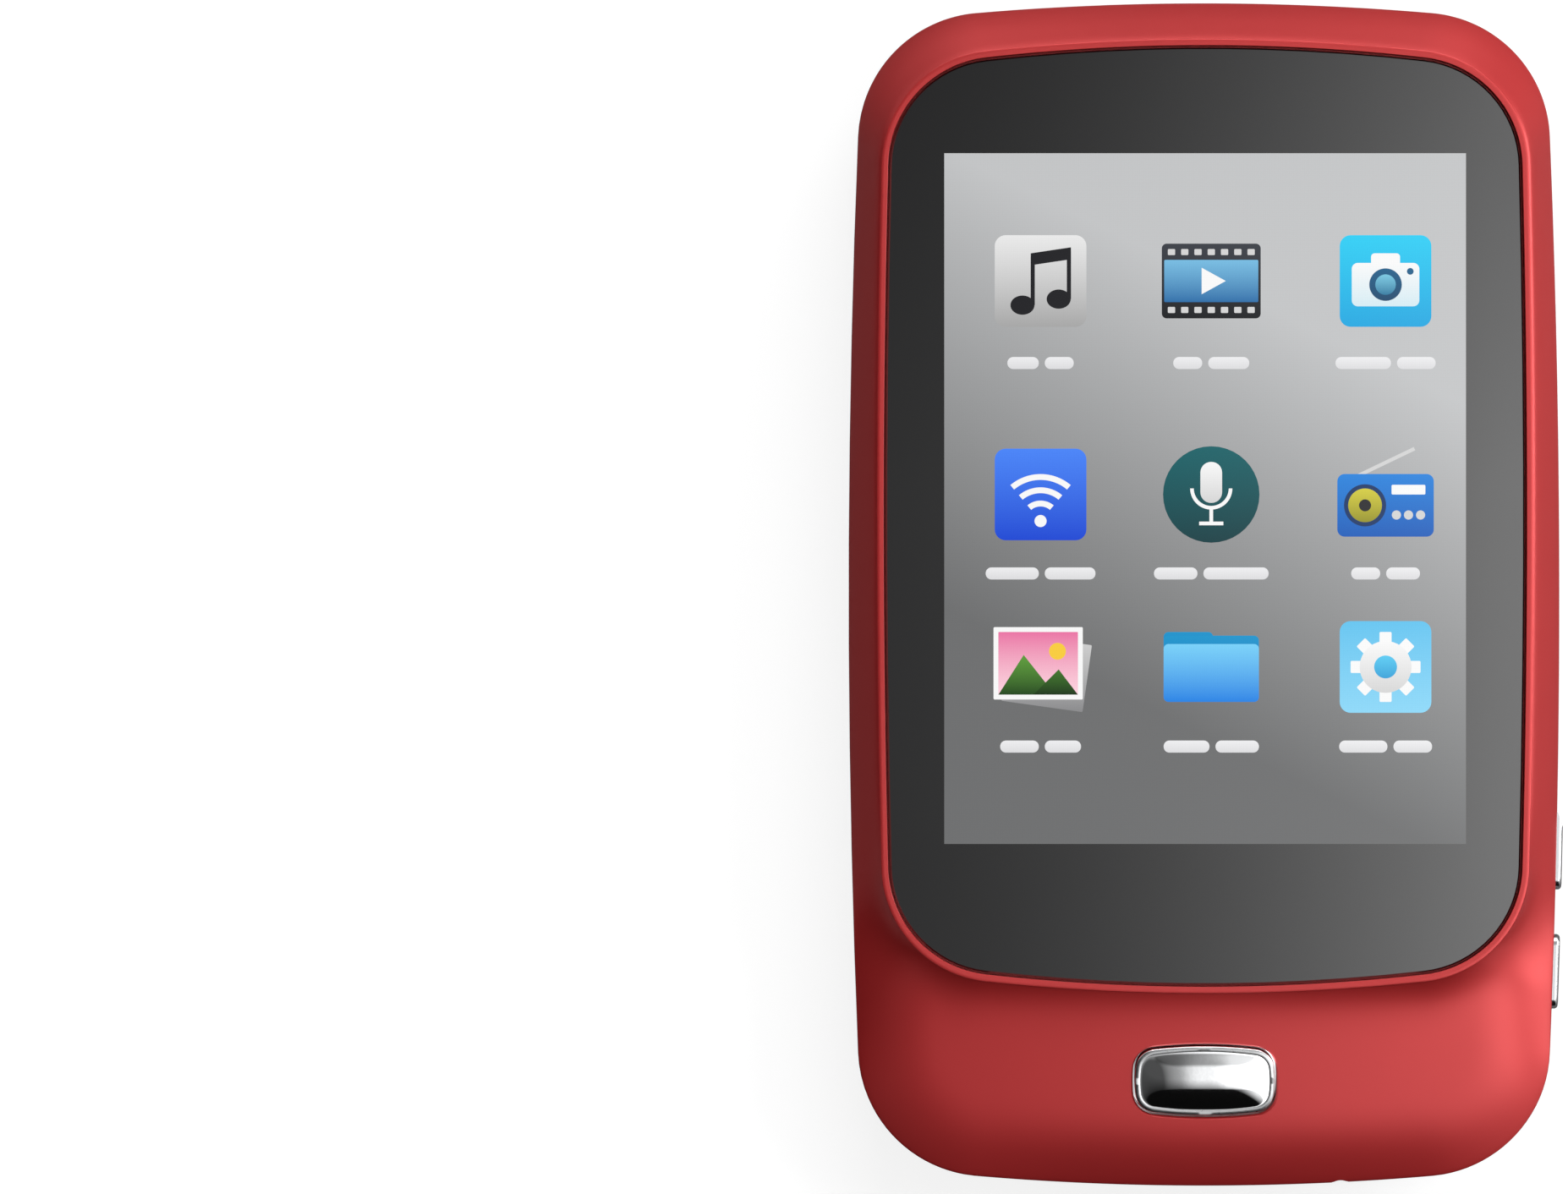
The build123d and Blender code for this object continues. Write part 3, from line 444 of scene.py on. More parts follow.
# ---------------------------------------------------------------- materials
class Nodes:
    """A small helper for building a material's node tree."""

    def __init__(self, name):
        self.material = bpy.data.materials.new(name)
        self.material.use_nodes = True
        self.tree = self.material.node_tree
        self.shader = self.tree.nodes["Principled BSDF"]
        self.output = self.tree.nodes["Material Output"]
        coordinates = self.tree.nodes.new("ShaderNodeTexCoord")
        scale = self.tree.nodes.new("ShaderNodeVectorMath")
        scale.operation = "SCALE"
        scale.inputs["Scale"].default_value = 1 / MM
        self.link(coordinates.outputs["Object"], scale.inputs[0])
        # Object position in millimetres.
        self.position = scale.outputs[0]

    def link(self, source, target):
        self.tree.links.new(source, target)

    def put(self, value, target):
        """Set an input from a number, a colour or another node's output."""
        if isinstance(value, bpy.types.NodeSocket):
            self.link(value, target)
        else:
            target.default_value = value

    def set(self, **values):
        """Set the main shader's inputs by name, with underscores for spaces."""
        for key, value in values.items():
            self.put(value, self.shader.inputs[key.replace("_", " ")])

    def math(self, operation, a, b=0.0):
        node = self.tree.nodes.new("ShaderNodeMath")
        node.operation = operation
        self.put(a, node.inputs[0])
        self.put(b, node.inputs[1])
        return node.outputs[0]

    def inside(self, value, low, high):
        """1 where the value lies between low and high, else 0."""
        result = self.math("COMPARE", value, (low + high) / 2)
        result.node.inputs[2].default_value = (high - low) / 2
        return result

    def emission(self, strength):
        """The output of a light-emitting shader of this strength."""
        node = self.tree.nodes.new("ShaderNodeEmission")
        self.link(strength, node.inputs["Strength"])
        return node.outputs[0]

    def mix_shader(self, factor, a, b):
        node = self.tree.nodes.new("ShaderNodeMixShader")
        for socket, target in zip((factor, a, b), node.inputs):
            self.link(socket, target)
        return node.outputs[0]

    def axis(self, index):
        """One coordinate of the object position, in millimetres."""
        node = self.tree.nodes.new("ShaderNodeSeparateXYZ")
        self.link(self.position, node.inputs[0])
        return node.outputs[index]

    def noise(self, size, detail=2.0, roughness=0.5, stretch=None):
        """Noise from 0 to 1 whose blobs are about this many millimetres across."""
        node = self.tree.nodes.new("ShaderNodeTexNoise")
        node.inputs["Scale"].default_value = 1 / size
        node.inputs["Detail"].default_value = detail
        node.inputs["Roughness"].default_value = roughness
        vector = self.position
        if stretch:
            mapping = self.tree.nodes.new("ShaderNodeMapping")
            mapping.inputs["Scale"].default_value = stretch
            self.link(self.position, mapping.inputs["Vector"])
            vector = mapping.outputs[0]
        self.link(vector, node.inputs["Vector"])
        return node.outputs["Fac"]

    def between(self, value, low, high, start=0.0, stop=1.0):
        """Map value from start..stop to low..high."""
        node = self.tree.nodes.new("ShaderNodeMapRange")
        self.put(value, node.inputs["Value"])
        self.put(start, node.inputs["From Min"])
        self.put(stop, node.inputs["From Max"])
        self.put(low, node.inputs["To Min"])
        self.put(high, node.inputs["To Max"])
        return node.outputs[0]

    def blend(self, factor, a, b):
        node = self.tree.nodes.new("ShaderNodeMix")
        node.data_type = "RGBA"
        self.put(factor, node.inputs["Factor"])
        self.put(a, node.inputs["A"])
        self.put(b, node.inputs["B"])
        return node.outputs["Result"]

    def bump(self, height, strength, depth):
        """Bump the surface; depth is in millimetres."""
        node = self.tree.nodes.new("ShaderNodeBump")
        node.inputs["Strength"].default_value = strength
        node.inputs["Distance"].default_value = depth * MM
        self.put(height, node.inputs["Height"])
        self.link(node.outputs[0], self.shader.inputs["Normal"])


def rgb(red, green, blue):
    """A linear colour from 0-255 display values."""
    linear = [((c / 255 + 0.055) / 1.055) ** 2.4 if c > 10 else c / 3294.6 for c in (red, green, blue)]
    return (*linear, 1.0)


def painted_plastic(name, color, darker, roughness, metallic, coat, grain):
    """Sprayed satin paint: a very fine orange peel, faint mottling and slightly uneven gloss."""
    n = Nodes(name)
    n.set(Base_Color=n.blend(n.noise(11.0, 3.0), color, darker), Metallic=metallic)
    n.set(Roughness=n.between(n.noise(0.9, 3.0), roughness - 0.015, roughness + 0.015))
    n.set(Specular_IOR_Level=0.3, Coat_Weight=coat, Coat_Roughness=0.35)
    n.bump(n.noise(grain, 2.0), 0.1, 0.015)
    return n.material


def plated_metal(name, color, roughness, brush=None):
    """Polished or lightly brushed plating with faint hairline variation."""
    n = Nodes(name)
    n.set(Base_Color=color, Metallic=1.0)
    streaks = n.noise(0.35, 3.0, 0.6, brush or (1.0, 1.0, 1.0))
    n.set(Roughness=n.between(streaks, roughness * 0.7, roughness * 1.3))
    n.bump(streaks, 0.05, 0.01)
    return n.material


def moulded_plastic(name, color, roughness=0.5, grain=0.25, strength=0.3):
    """Moulded plastic with a fine spark-eroded grain."""
    n = Nodes(name)
    tint = tuple(c * 0.8 for c in color[:3]) + (1.0,)
    n.set(Base_Color=n.blend(n.noise(3.0, 3.0), color, tint))
    n.set(Roughness=n.between(n.noise(1.0, 3.0), roughness - 0.06, roughness + 0.06))
    n.bump(n.noise(grain, 2.0), strength, 0.03)
    return n.material


def card_strength(n, x, y):
    """Brightness of the overhead card at x, y: dim at the left, bright at the right, less at the ends."""
    across = n.math("POWER", n.between(x, 0.0, 1.0, -30.0, 101.0), 2.2)
    far_right = n.between(x, 0.0, 4.2, 120.0, 700.0)
    far_right = n.math("MULTIPLY", far_right, n.between(y, 1.0, 0.3, -450.0, -60.0))
    strength = n.math("ADD", n.between(across, 0.0, 2.28), far_right)
    strength = n.math("ADD", strength, n.between(x, 0.08, 0.38, -300.0, -20.0))
    near_end = n.between(y, 0.2, 1.0, -870.0, -450.0)
    far_end = n.between(y, 1.0, 0.35, 20.0, 180.0)
    return n.math("MULTIPLY", strength, n.math("MULTIPLY", near_end, far_end))


def screen_gradient(n):
    """Brightness of the lit display: a slanting grey, dark at the near left and light at the far right."""
    slant = n.math("ADD", n.axis(1), n.math("MULTIPLY", n.math("ADD", n.axis(0), 20.8), 0.49))
    return n.math("POWER", n.between(slant, 112 / 255, 198 / 255, -1.5, 36.5), 2.2)


def panel_glass():
    """Cover panel: glossy glass over a black print, clear over the active area.

    Seen through the clear area from the side, the lit display fills it up to its edge."""
    n = Nodes("panel_glass")
    n.set(Base_Color=rgb(9, 9, 10), Specular_IOR_Level=0.84)
    n.set(Roughness=n.between(n.noise(6.0, 4.0), 0.02, 0.05))
    half_x, half_y = ACTIVE_HALF
    inside_x = n.inside(n.axis(0), -half_x, half_x)
    inside_y = n.inside(n.axis(1), ACTIVE_CENTER_Y - half_y, ACTIVE_CENTER_Y + half_y)
    window = n.math("MULTIPLY", inside_x, inside_y)
    clear = n.tree.nodes.new("ShaderNodeBsdfTransparent")
    gloss = n.tree.nodes.new("ShaderNodeBsdfGlossy")
    gloss.inputs["Roughness"].default_value = 0.03
    geometry = n.tree.nodes.new("ShaderNodeNewGeometry")
    # Where the mirrored line of sight meets the overhead card, its light is worked out here, because
    # sampling a faint gloss over a clear surface would leave grain.
    view = n.tree.nodes.new("ShaderNodeSeparateXYZ")
    n.link(geometry.outputs["Incoming"], view.inputs[0])
    reach = n.math("DIVIDE", CARD_Z - LENS_Z, n.math("MAXIMUM", view.outputs[2], 0.01))
    spot = [n.math("SUBTRACT", n.axis(i), n.math("MULTIPLY", view.outputs[i], reach)) for i in (0, 1)]
    on_card = [n.inside(*limits) for limits in zip(spot, CARD_LOW, CARD_HIGH)]
    card_light = n.emission(card_strength(n, *spot))
    mirror = n.mix_shader(n.math("MULTIPLY", *on_card), gloss.outputs[0], card_light)
    fresnel = n.tree.nodes.new("ShaderNodeFresnel")
    fresnel.inputs["IOR"].default_value = 1.33
    behind = geometry.outputs["Backfacing"]
    mirrored = n.math("MULTIPLY", fresnel.outputs[0], n.math("SUBTRACT", 1.0, behind))
    glass = n.mix_shader(mirrored, clear.outputs[0], mirror)
    panel = n.mix_shader(window, n.shader.outputs[0], glass)
    beside = n.math("MULTIPLY", behind, n.math("SUBTRACT", 1.0, window))
    whole = n.mix_shader(beside, panel, n.emission(screen_gradient(n)))
    n.link(whole, n.output.inputs["Surface"])
    return n.material


def panel_adhesive():
    """Black adhesive; through the panel's clear area it looks lit like the display beside it."""
    n = Nodes("panel_adhesive")
    n.set(Base_Color=n.blend(n.noise(0.8, 3.0), (0.05, 0.05, 0.05, 1), (0.035, 0.035, 0.035, 1)))
    n.set(Roughness=n.between(n.noise(0.5), 0.74, 0.86))
    n.bump(n.noise(0.5, 2.0), 0.3, 0.03)
    path = n.tree.nodes.new("ShaderNodeLightPath")
    through_glass = n.math("GREATER_THAN", path.outputs["Transparent Depth"], 0.5)
    whole = n.mix_shader(through_glass, n.shader.outputs[0], n.emission(screen_gradient(n)))
    n.link(whole, n.output.inputs["Surface"])
    return n.material


def pixel_grid(n):
    """The fine dark grid between a display's pixels, near 1 inside a pixel."""
    pitch = 2 * ACTIVE_HALF[0] / COLUMNS_OF_PIXELS
    cells = []
    for index in (0, 1):
        phase = n.math("FRACT", n.math("DIVIDE", n.axis(index), pitch))
        cells.append(n.between(n.math("ABSOLUTE", n.math("SUBTRACT", phase, 0.5)), 1.0, 0.97, 0.38, 0.5))
    return n.math("MULTIPLY", *cells)


def display_surface():
    """The lit display: a slanting grey gradient with a fine pixel grid."""
    n = Nodes("display_surface")
    light = n.emission(n.math("MULTIPLY", screen_gradient(n), pixel_grid(n)))
    light.node.inputs["Color"].default_value = (0.97, 0.985, 1.0, 1.0)
    n.link(light, n.output.inputs["Surface"])
    return n.material


def screen_pixels():
    """Lit picture elements, coloured by the mesh's colour attribute."""
    n = Nodes("screen_pixels")
    attribute = n.tree.nodes.new("ShaderNodeAttribute")
    attribute.attribute_name = "pixel_color"
    light = n.emission(pixel_grid(n))
    n.link(attribute.outputs["Color"], light.node.inputs["Color"])
    n.link(light, n.output.inputs["Surface"])
    return n.material


# ---------------------------------------------------------------- the picture on the display
class Picture:
    """A flat picture built from thin coloured plates, stacked in the order they are drawn."""

    layer = 0.01

    def __init__(self, name, x, y, base_z):
        self.name, self.x, self.y, self.z = name, x, y, base_z
        self.vertices, self.faces, self.colors = [], [], []

    def plate(self, outline, top, bottom=None):
        """Add a plate with these corner points; its colour runs from top to bottom."""
        outline = np.asarray(outline, float)
        bottom = bottom or top
        low_y, high_y = outline[:, 1].min(), outline[:, 1].max()
        start = len(self.vertices)
        count = len(outline)
        for z in (self.z, self.z + self.layer):
            for x, y in outline:
                t = (y - low_y) / max(high_y - low_y, 1e-6)
                color = [b + (a - b) * t for a, b in zip(rgb(*top), rgb(*bottom))]
                self.vertices.append((self.x + x, self.y + y, z))
                self.colors.append(color)
        self.faces.append(tuple(start + i for i in reversed(range(count))))
        self.faces.append(tuple(start + count + i for i in range(count)))
        for i in range(count):
            j = (i + 1) % count
            self.faces.append((start + i, start + j, start + count + j, start + count + i))
        self.z += self.layer

    def disc(self, x, y, radius, top, bottom=None, squeeze=1.0):
        """A disc; squeeze is its width over its height."""
        angles = np.linspace(0, 2 * math.pi, 40, endpoint=False)
        circle = np.column_stack([x + radius * squeeze * np.cos(angles), y + radius * np.sin(angles)])
        self.plate(circle, top, bottom)

    def box(self, x, y, half_x, half_y, radius, top, bottom=None, turn=0.0):
        """A rectangle with round corners, turned anticlockwise by this many degrees."""
        outline = rounded_rectangle(half_x, half_y, radius)
        c, s = math.cos(math.radians(turn)), math.sin(math.radians(turn))
        self.plate(outline @ np.array([[c, s], [-s, c]]) + [x, y], top, bottom)

    def arc(self, x, y, radius, width, start, stop, top, bottom=None, count=28):
        """A band along a circle, from start to stop in degrees."""
        angles = np.radians(np.linspace(start, stop, count))
        outer = np.column_stack([np.cos(angles), np.sin(angles)]) * (radius + width / 2)
        inner = np.column_stack([np.cos(angles), np.sin(angles)])[::-1] * (radius - width / 2)
        self.plate(np.vstack([outer, inner]) + [x, y], top, bottom)

    def line(self, points, width, top, bottom=None):
        """A stroke of even width through the points."""
        points = np.asarray(points, float)
        along = np.gradient(points, axis=0)
        along /= np.linalg.norm(along, axis=1)[:, None]
        side = np.column_stack([-along[:, 1], along[:, 0]]) * width / 2
        self.plate(np.vstack([points - side, (points + side)[::-1]]), top, bottom)

    def finish(self, material):
        obj = mesh_object(self.name, self.vertices, self.faces)
        attribute = obj.data.color_attributes.new("pixel_color", "FLOAT_COLOR", "POINT")
        attribute.data.foreach_set("color", np.array(self.colors, np.float32).ravel())
        obj.data.materials.append(material)
        return obj


WHITE, SILVER, GREY, INK = (250, 250, 250), (214, 214, 214), (138, 138, 140), (32, 32, 36)


def tile(p, top, bottom):
    """The rounded square that some pictograms stand on."""
    p.box(0, 0, 3.8, 3.8, 0.9, top, bottom)


def draw_music(p):
    """Two notes under one beam."""
    tile(p, (236, 236, 236), (168, 168, 168))
    for x, y in ((-1.5, -2.0), (1.5, -1.5)):
        p.disc(x, y, 0.8, INK, None, 1.25)
        p.line([(x + 0.85, y), (x + 0.85, y + 4.0)], 0.35, INK)
    p.plate([(-0.82, 1.3), (2.52, 1.8), (2.52, 2.8), (-0.82, 2.3)], INK)


def draw_film(p):
    """A strip of film with a play mark."""
    p.box(0, 0, 4.1, 3.1, 0.4, (58, 62, 70), (22, 24, 28))
    p.box(0, 0, 3.9, 1.75, 0.1, (120, 190, 228), (40, 110, 170))
    for y in (-2.4, 2.4):
        for x in (-3.3, -2.2, -1.1, 0.0, 1.1, 2.2, 3.3):
            p.box(x, y, 0.3, 0.25, 0.08, SILVER)
    p.plate([(-0.8, -1.1), (1.2, 0.0), (-0.8, 1.1)], WHITE)


def draw_camera(p):
    """A camera seen from the front."""
    tile(p, (38, 208, 246), (14, 168, 226))
    p.box(0, 1.4, 1.2, 0.9, 0.3, WHITE)
    p.box(0, -0.3, 2.8, 1.8, 0.5, WHITE, (214, 236, 244))
    p.disc(0, -0.3, 1.35, (14, 96, 140), (10, 70, 108))
    p.disc(0, -0.3, 0.85, (120, 200, 226), (36, 120, 160))
    p.disc(2.05, 0.8, 0.28, (14, 96, 140))


def draw_wireless(p):
    """A dot and three waves."""
    tile(p, (74, 134, 250), (26, 72, 214))
    p.disc(0, -2.2, 0.5, WHITE)
    for radius in (1.45, 2.55, 3.65):
        p.arc(0, -2.2, radius, 0.48, 50, 130, WHITE)


def draw_recorder(p):
    """A microphone on its stand."""
    p.disc(0, 0, 4.0, (16, 100, 106), (8, 62, 68))
    p.box(0, 1.0, 0.9, 1.7, 0.88, WHITE, SILVER)
    p.arc(0, 0.5, 1.6, 0.3, 180, 360, WHITE)
    p.line([(0, -1.1), (0, -2.4)], 0.3, WHITE)
    p.line([(-1.0, -2.4), (1.0, -2.4)], 0.3, WHITE)


def draw_radio(p):
    """A box radio with an aerial, a loudspeaker, a tuning scale and three knobs."""
    p.line([(-2.6, 1.4), (2.4, 3.8)], 0.3, SILVER)
    p.box(0, -0.9, 4.0, 2.6, 0.6, (28, 132, 222), (8, 92, 186))
    p.disc(-1.7, -0.9, 1.75, (10, 52, 104))
    p.disc(-1.7, -0.9, 1.4, (214, 206, 60), (150, 146, 30))
    p.disc(-1.7, -0.9, 0.5, INK)
    p.box(1.9, 0.4, 1.4, 0.4, 0.1, WHITE)
    for x in (0.9, 1.9, 2.9):
        p.disc(x, -1.7, 0.38, SILVER)


def draw_photos(p):
    """Two prints, the upper one with hills under an evening sky."""
    p.box(0.5, -0.5, 3.4, 2.8, 0.1, SILVER, GREY, -8)
    p.box(-0.2, 0.3, 3.7, 3.0, 0.1, WHITE)
    p.box(-0.2, 0.3, 3.3, 2.6, 0.05, (236, 116, 166), (255, 214, 226))
    p.disc(1.4, 1.3, 0.7, (250, 206, 60))
    p.plate([(-3.5, -2.3), (1.2, -2.3), (-1.4, 1.0)], (96, 160, 60), (30, 70, 24))
    p.plate([(-0.6, -2.3), (3.1, -2.3), (1.5, -0.2)], (64, 120, 40), (20, 50, 16))


def draw_folder(p):
    """A closed folder with its tab at the left."""
    p.box(-1.9, 1.9, 2.05, 1.0, 0.4, (10, 150, 206), (6, 110, 190))
    p.box(0, 0.2, 3.95, 2.4, 0.4, (10, 150, 206), (6, 110, 190))
    p.box(0, -0.5, 3.95, 2.4, 0.4, (120, 210, 250), (24, 130, 230))


def draw_settings(p):
    """A toothed wheel."""
    tile(p, (96, 196, 240), (140, 216, 248))
    for turn in range(0, 360, 45):
        angle = math.radians(turn)
        p.box(2.3 * math.cos(angle), 2.3 * math.sin(angle), 0.6, 0.5, 0.1, WHITE, None, turn)
    p.disc(0, 0, 2.15, WHITE, SILVER)
    p.disc(0, 0, 0.95, (86, 204, 244), (40, 160, 216))


COLUMNS = (-13.6, 0.55, 15.0)
ROWS = (26.0, 8.3, -6.0)
LABEL_ROWS = (19.2, 1.75, -12.6)
# Each row of icons: a name, how it is drawn, and the widths of the two bars under it.
ICONS = (
    (
        ("music", draw_music, (2.6, 2.4)),
        ("film", draw_film, (2.4, 3.4)),
        ("camera", draw_camera, (4.6, 3.2)),
    ),
    (
        ("wireless", draw_wireless, (4.4, 4.2)),
        ("recorder", draw_recorder, (3.6, 5.4)),
        ("radio", draw_radio, (2.4, 2.8)),
    ),
    (
        ("photos", draw_photos, (3.2, 3.0)),
        ("folder", draw_folder, (3.8, 3.6)),
        ("settings", draw_settings, (4.0, 3.2)),
    ),
)


def draw_labels(pixels):
    """A short pair of plain rounded bars under each icon."""
    labels = Picture("screen_label_bars", 0, 0, SCREEN_Z + 0.01)
    for row, y in zip(ICONS, LABEL_ROWS):
        for (_, _, bars), x in zip(row, COLUMNS):
            gap = 0.5
            start = x - (sum(bars) + gap) / 2
            for width in bars:
                labels.box(start + width / 2, y, width / 2, 0.5, 0.48, (240, 240, 242), (222, 222, 224))
                start += width + gap
    return labels.finish(pixels)


def screen_film(material):
    """The lit front film of the display, just under the panel, with a fine round all along its edge."""
    half_x, half_y = ACTIVE_HALF[0] + 1.2, ACTIVE_HALF[1] + 1.2
    loops = []
    for inset, depth in ((0.04, 0.12), (0.0, 0.09), (0.0, 0.03), (0.04, 0.0)):
        outline = rounded_rectangle(half_x - inset, half_y - inset, 0.5) + [0, ACTIVE_CENTER_Y]
        loops.append(np.column_stack([outline, np.full(len(outline), SCREEN_Z - depth)]))
    film = loop_shell("screen_film", loops, close_start=True, close_end=True)
    film.data.materials.append(material)
    return film


def draw_screen():
    pixels = screen_pixels()
    pieces = [screen_film(display_surface()), draw_labels(pixels)]
    for row, y in zip(ICONS, ROWS):
        for (name, draw, _), x in zip(row, COLUMNS):
            picture = Picture(f"screen_icon_{name}", x, y, SCREEN_Z + 0.01)
            draw(picture)
            pieces.append(picture.finish(pixels))
    return pieces


# ---------------------------------------------------------------- finishes of the inner parts
def circuit_board(name):
    """Green solder mask over faint copper tracks."""
    n = Nodes(name)
    tracks = n.math("GREATER_THAN", n.math("SINE", n.math("MULTIPLY", n.axis(0), 9.0)), 0.4)
    faint = n.math("MULTIPLY", tracks, 0.5)
    n.set(Base_Color=n.blend(faint, (0.01, 0.09, 0.035, 1), (0.03, 0.2, 0.07, 1)))
    n.set(Roughness=0.35)
    n.bump(tracks, 0.4, 0.03)
    return n.material


def foil(name):
    """Crinkled silver battery foil."""
    n = Nodes(name)
    n.set(Base_Color=(0.55, 0.55, 0.57, 1), Metallic=1.0)
    n.set(Roughness=n.between(n.noise(5.0, 4.0), 0.25, 0.5))
    n.bump(n.noise(4.0, 5.0), 0.5, 0.15)
    return n.material


def woven_mesh(name):
    """A fine woven steel screen."""
    n = Nodes(name)
    wires = [n.math("SINE", n.math("MULTIPLY", n.axis(i), 26.0)) for i in (0, 1)]
    weave = n.math("MAXIMUM", *wires)
    raised = n.between(weave, 0.0, 1.0, -0.2, 0.5)
    n.set(Base_Color=n.blend(raised, (0.01, 0.01, 0.01, 1), (0.22, 0.22, 0.23, 1)))
    n.set(Metallic=0.9, Roughness=0.4)
    n.bump(weave, 0.6, 0.05)
    return n.material


def camera_window_glass(name):
    """Dark lens window with a faint coating tint."""
    n = Nodes(name)
    n.set(Base_Color=n.blend(n.noise(2.0), (0.006, 0.007, 0.012, 1), (0.012, 0.01, 0.03, 1)))
    n.set(Roughness=0.03, Specular_IOR_Level=0.8)
    return n.material


RED, RED_DARK = (0.38, 0.0165, 0.017, 1), (0.355, 0.015, 0.016, 1)
BLACK, BLACK_DARK = (0.006, 0.006, 0.0065, 1), (0.005, 0.005, 0.0055, 1)


def build_finishes():
    """One material for every slot in the record."""
    steel = (0.56, 0.56, 0.58, 1)
    across = (1.0, 8.0, 8.0)
    return {
        "painted_red": painted_plastic("painted_red", RED, RED_DARK, 0.38, 0.45, 0.4, 0.09),
        "cover_black": painted_plastic("cover_black", BLACK, BLACK_DARK, 0.36, 0.0, 0.0, 0.12),
        "panel_glass": panel_glass(),
        "chrome": plated_metal("chrome", (0.86, 0.87, 0.88, 1), 0.06),
        "key_metal": plated_metal("key_metal", (0.38, 0.38, 0.39, 1), 0.2, across),
        "dark_chrome": plated_metal("dark_chrome", (0.26, 0.26, 0.27, 1), 0.07, across),
        "clear_window": camera_window_glass("clear_window"),
        "steel_mesh": woven_mesh("steel_mesh"),
        "black_steel": plated_metal("black_steel", (0.05, 0.05, 0.055, 1), 0.35),
        "steel": plated_metal("steel", steel, 0.25, across),
        "adhesive": moulded_plastic("adhesive", (0.05, 0.05, 0.05, 1), 0.8, 0.5),
        "foam": moulded_plastic("foam", (0.02, 0.02, 0.02, 1), 0.9, 0.3, 0.8),
        "display_glass": display_surface(),
        "white_plastic": moulded_plastic("white_plastic", (0.7, 0.7, 0.7, 1), 0.6),
        "flex_film": moulded_plastic("flex_film", (0.4, 0.13, 0.02, 1), 0.35, 0.6),
        "circuit_board": circuit_board("circuit_board"),
        "chip_black": moulded_plastic("chip_black", (0.02, 0.02, 0.02, 1), 0.6, 0.1),
        "ceramic": moulded_plastic("ceramic", (0.3, 0.22, 0.12, 1), 0.5, 0.15),
        "connector_plastic": moulded_plastic("connector_plastic", (0.6, 0.55, 0.4, 1), 0.5),
        "socket_black": moulded_plastic("socket_black", (0.012, 0.012, 0.012, 1), 0.4),
        "gold": plated_metal("gold", (0.8, 0.5, 0.15, 1), 0.2),
        "rubber_black": moulded_plastic("rubber_black", (0.015, 0.015, 0.015, 1), 0.8, 0.3),
        "battery_foil": foil("battery_foil"),
        "wire_red": moulded_plastic("wire_red", (0.4, 0.02, 0.015, 1), 0.4),
        "speaker_black": moulded_plastic("speaker_black", (0.03, 0.03, 0.03, 1), 0.6),
        "camera_black": moulded_plastic("camera_black", (0.015, 0.015, 0.015, 1), 0.45),
        "switch_black": moulded_plastic("switch_black", (0.03, 0.03, 0.03, 1), 0.5),
        "switch_stem": moulded_plastic("switch_stem", (0.55, 0.55, 0.52, 1), 0.5),
    }


# ---------------------------------------------------------------- studio
LAMP_TARGET = (0, 0, 5)


def area_light(name, position, size, power):
    """A white rectangular lamp aimed at the middle of the player."""
    data = bpy.data.lights.new(name, "AREA")
    data.shape = "RECTANGLE"
    data.size, data.size_y = size[0] * MM, size[1] * MM
    data.energy = power
    light = bpy.data.objects.new(name, data)
    light.location = Vector(position) * MM
    light.rotation_euler = (Vector(LAMP_TARGET) - Vector(position)).to_track_quat("-Z", "Y").to_euler()
    bpy.context.scene.collection.objects.link(light)
    return light


def overhead_card():
    """A reflector above the player that only shows in reflections."""
    bpy.ops.mesh.primitive_grid_add(x_subdivisions=2, y_subdivisions=2, size=1.0)
    card = bpy.context.object
    card.name = "reflection_card"
    size = [high - low for low, high in zip(CARD_LOW, CARD_HIGH)]
    center = [(high + low) / 2 for low, high in zip(CARD_LOW, CARD_HIGH)]
    card.scale = (size[0] * MM, size[1] * MM, 1.0)
    card.location = (center[0] * MM, center[1] * MM, CARD_Z * MM)
    n = Nodes("card_light")
    # World position in place of the object position, since the card is a scaled unit square.
    geometry = n.tree.nodes.new("ShaderNodeNewGeometry")
    n.link(geometry.outputs["Position"], n.position.node.inputs[0])
    n.link(n.emission(card_strength(n, n.axis(0), n.axis(1))), n.output.inputs["Surface"])
    card.data.materials.append(n.material)
    card.visible_camera = False
    card.visible_diffuse = False
    card.visible_shadow = False
    card.visible_transmission = False


def floor():
    """A plain pale floor just under the player, almost white to the camera and dimmer in reflections."""
    bpy.ops.mesh.primitive_grid_add(x_subdivisions=4, y_subdivisions=4, size=6.0)
    ground = bpy.context.object
    ground.name = "floor"
    ground.location = (0, 0, -0.02 * MM)
    n = Nodes("pale_floor")
    path = n.tree.nodes.new("ShaderNodeLightPath")
    seen = path.outputs["Is Camera Ray"]
    n.set(Base_Color=n.blend(seen, (0.22, 0.22, 0.22, 1), (0.25, 0.25, 0.25, 1)))
    n.set(Roughness=0.9, Specular_IOR_Level=0.0)
    n.set(Emission_Color=(1, 1, 1, 1), Emission_Strength=n.math("MULTIPLY", seen, 0.8))
    ground.data.materials.append(n.material)


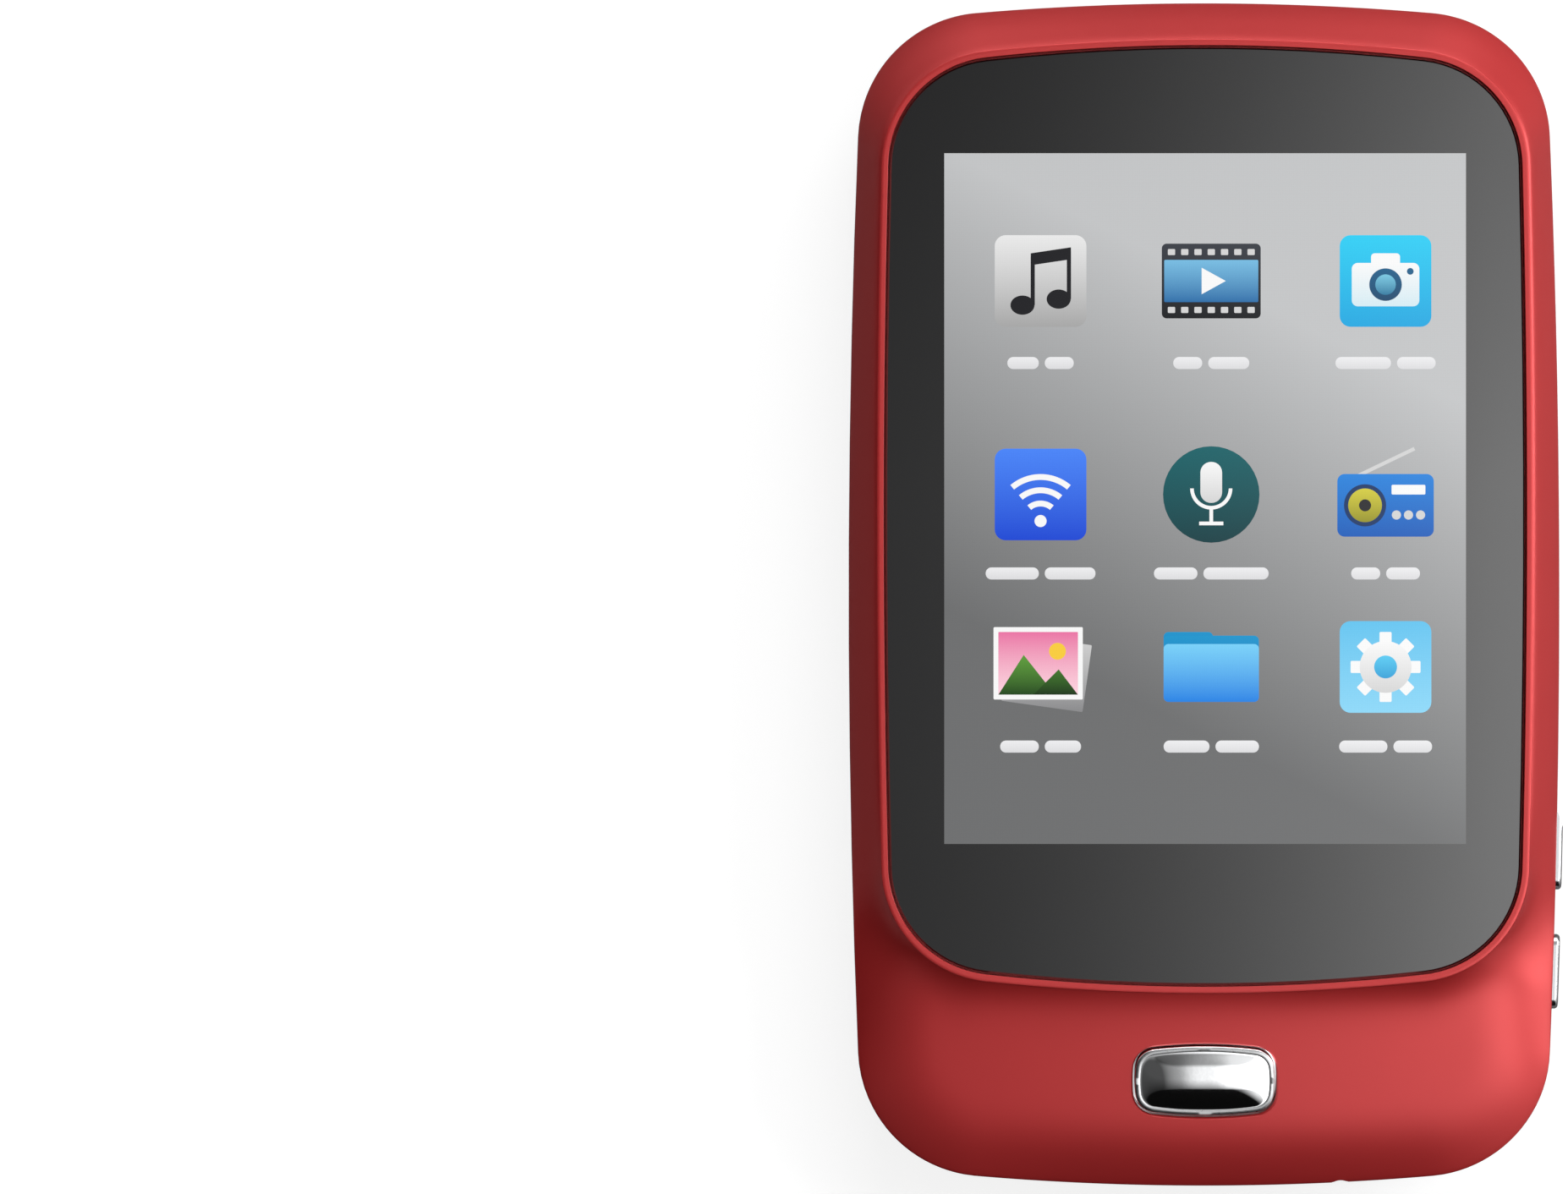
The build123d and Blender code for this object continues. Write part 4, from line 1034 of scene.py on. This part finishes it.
def world_light():
    """Soft studio surroundings: pale to the camera, a low fill, and reflections that are brightest
    away from the near left."""
    world = bpy.data.worlds.new("studio")
    bpy.context.scene.world = world
    world.use_nodes = True
    tree = world.node_tree
    background = tree.nodes["Background"]
    coordinates = tree.nodes.new("ShaderNodeTexCoord")
    path = tree.nodes.new("ShaderNodeLightPath")

    def toward(direction, start, stop, low, high):
        """A level that runs from low to high as the ray turns toward the direction."""
        dot = tree.nodes.new("ShaderNodeVectorMath")
        dot.operation = "DOT_PRODUCT"
        dot.inputs[1].default_value = Vector(direction).normalized()
        tree.links.new(coordinates.outputs["Generated"], dot.inputs[0])
        ramp = tree.nodes.new("ShaderNodeMapRange")
        for key, value in (("From Min", start), ("From Max", stop), ("To Min", low), ("To Max", high)):
            ramp.inputs[key].default_value = value
        tree.links.new(dot.outputs["Value"], ramp.inputs["Value"])
        return ramp.outputs[0]

    def choose(kind, otherwise, value):
        """value for rays of this kind, else the other one."""
        pick = tree.nodes.new("ShaderNodeMix")
        tree.links.new(path.outputs[kind], pick.inputs["Factor"])
        for source, key in ((otherwise, "A"), (value, "B")):
            if isinstance(source, float):
                pick.inputs[key].default_value = source
            else:
                tree.links.new(source, pick.inputs[key])
        return pick.outputs["Result"]

    fill = toward((0.62, 0.45, 0.64), -0.35, 0.9, 0.02, 0.5)
    reflected = toward((-0.6, -0.8, 0.0), 0.15, 0.33, 0.95, 0.003)
    strength = choose("Is Glossy Ray", fill, reflected)
    strength = choose("Is Camera Ray", strength, 0.97)
    tree.links.new(strength, background.inputs["Strength"])
    background.inputs["Color"].default_value = (1, 1, 1, 1)


def camera():
    """Straight above, turned so that the top end is up, with the player right of the middle."""
    frame_width = 129.81  # millimetres across the picture at the rim's height
    data = bpy.data.cameras.new("camera")
    data.lens = 350.0
    data.sensor_width = 36.0
    data.clip_end = 10.0
    obj = bpy.data.objects.new("camera", data)
    height = frame_width * data.lens / data.sensor_width
    obj.location = Vector((-34.87, -0.2, RIM_Z + height)) * MM
    bpy.context.scene.collection.objects.link(obj)
    bpy.context.scene.camera = obj


# ---------------------------------------------------------------- assembly
finishes = build_finishes()
slots = {part["node"]: part["material_slot"] for part in frame["record"]["subparts"]}
for node, obj in frame["nodes"].items():
    obj.data.materials.clear()
    obj.data.materials.append(finishes[slots[node]])
frame["nodes"]["touch_adhesive"].data.materials[0] = panel_adhesive()

shell = front_shell()
shell.data.materials.clear()
shell.data.materials.append(finishes["painted_red"])
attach(shell, "casing")
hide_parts("front_housing")

cap = home_cap()
cap.data.materials.append(finishes["chrome"])
cap.data.materials.append(plated_metal("satin_border", (0.36, 0.365, 0.37, 1), 0.3))
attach(cap, "home_key")
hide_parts("home_button")

for piece in draw_screen():
    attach(piece, "casing")

floor()
overhead_card()
world_light()
area_light("key", (330, 60, 170), (160, 260), 1.55)
area_light("top_fill", (60, 420, 270), (400, 220), 2.1)
near_fill = area_light("near_fill", (-300, -260, 420), (300, 300), 0.7)
near_fill.visible_glossy = False
camera()
bpy.context.scene.view_settings.view_transform = "Standard"
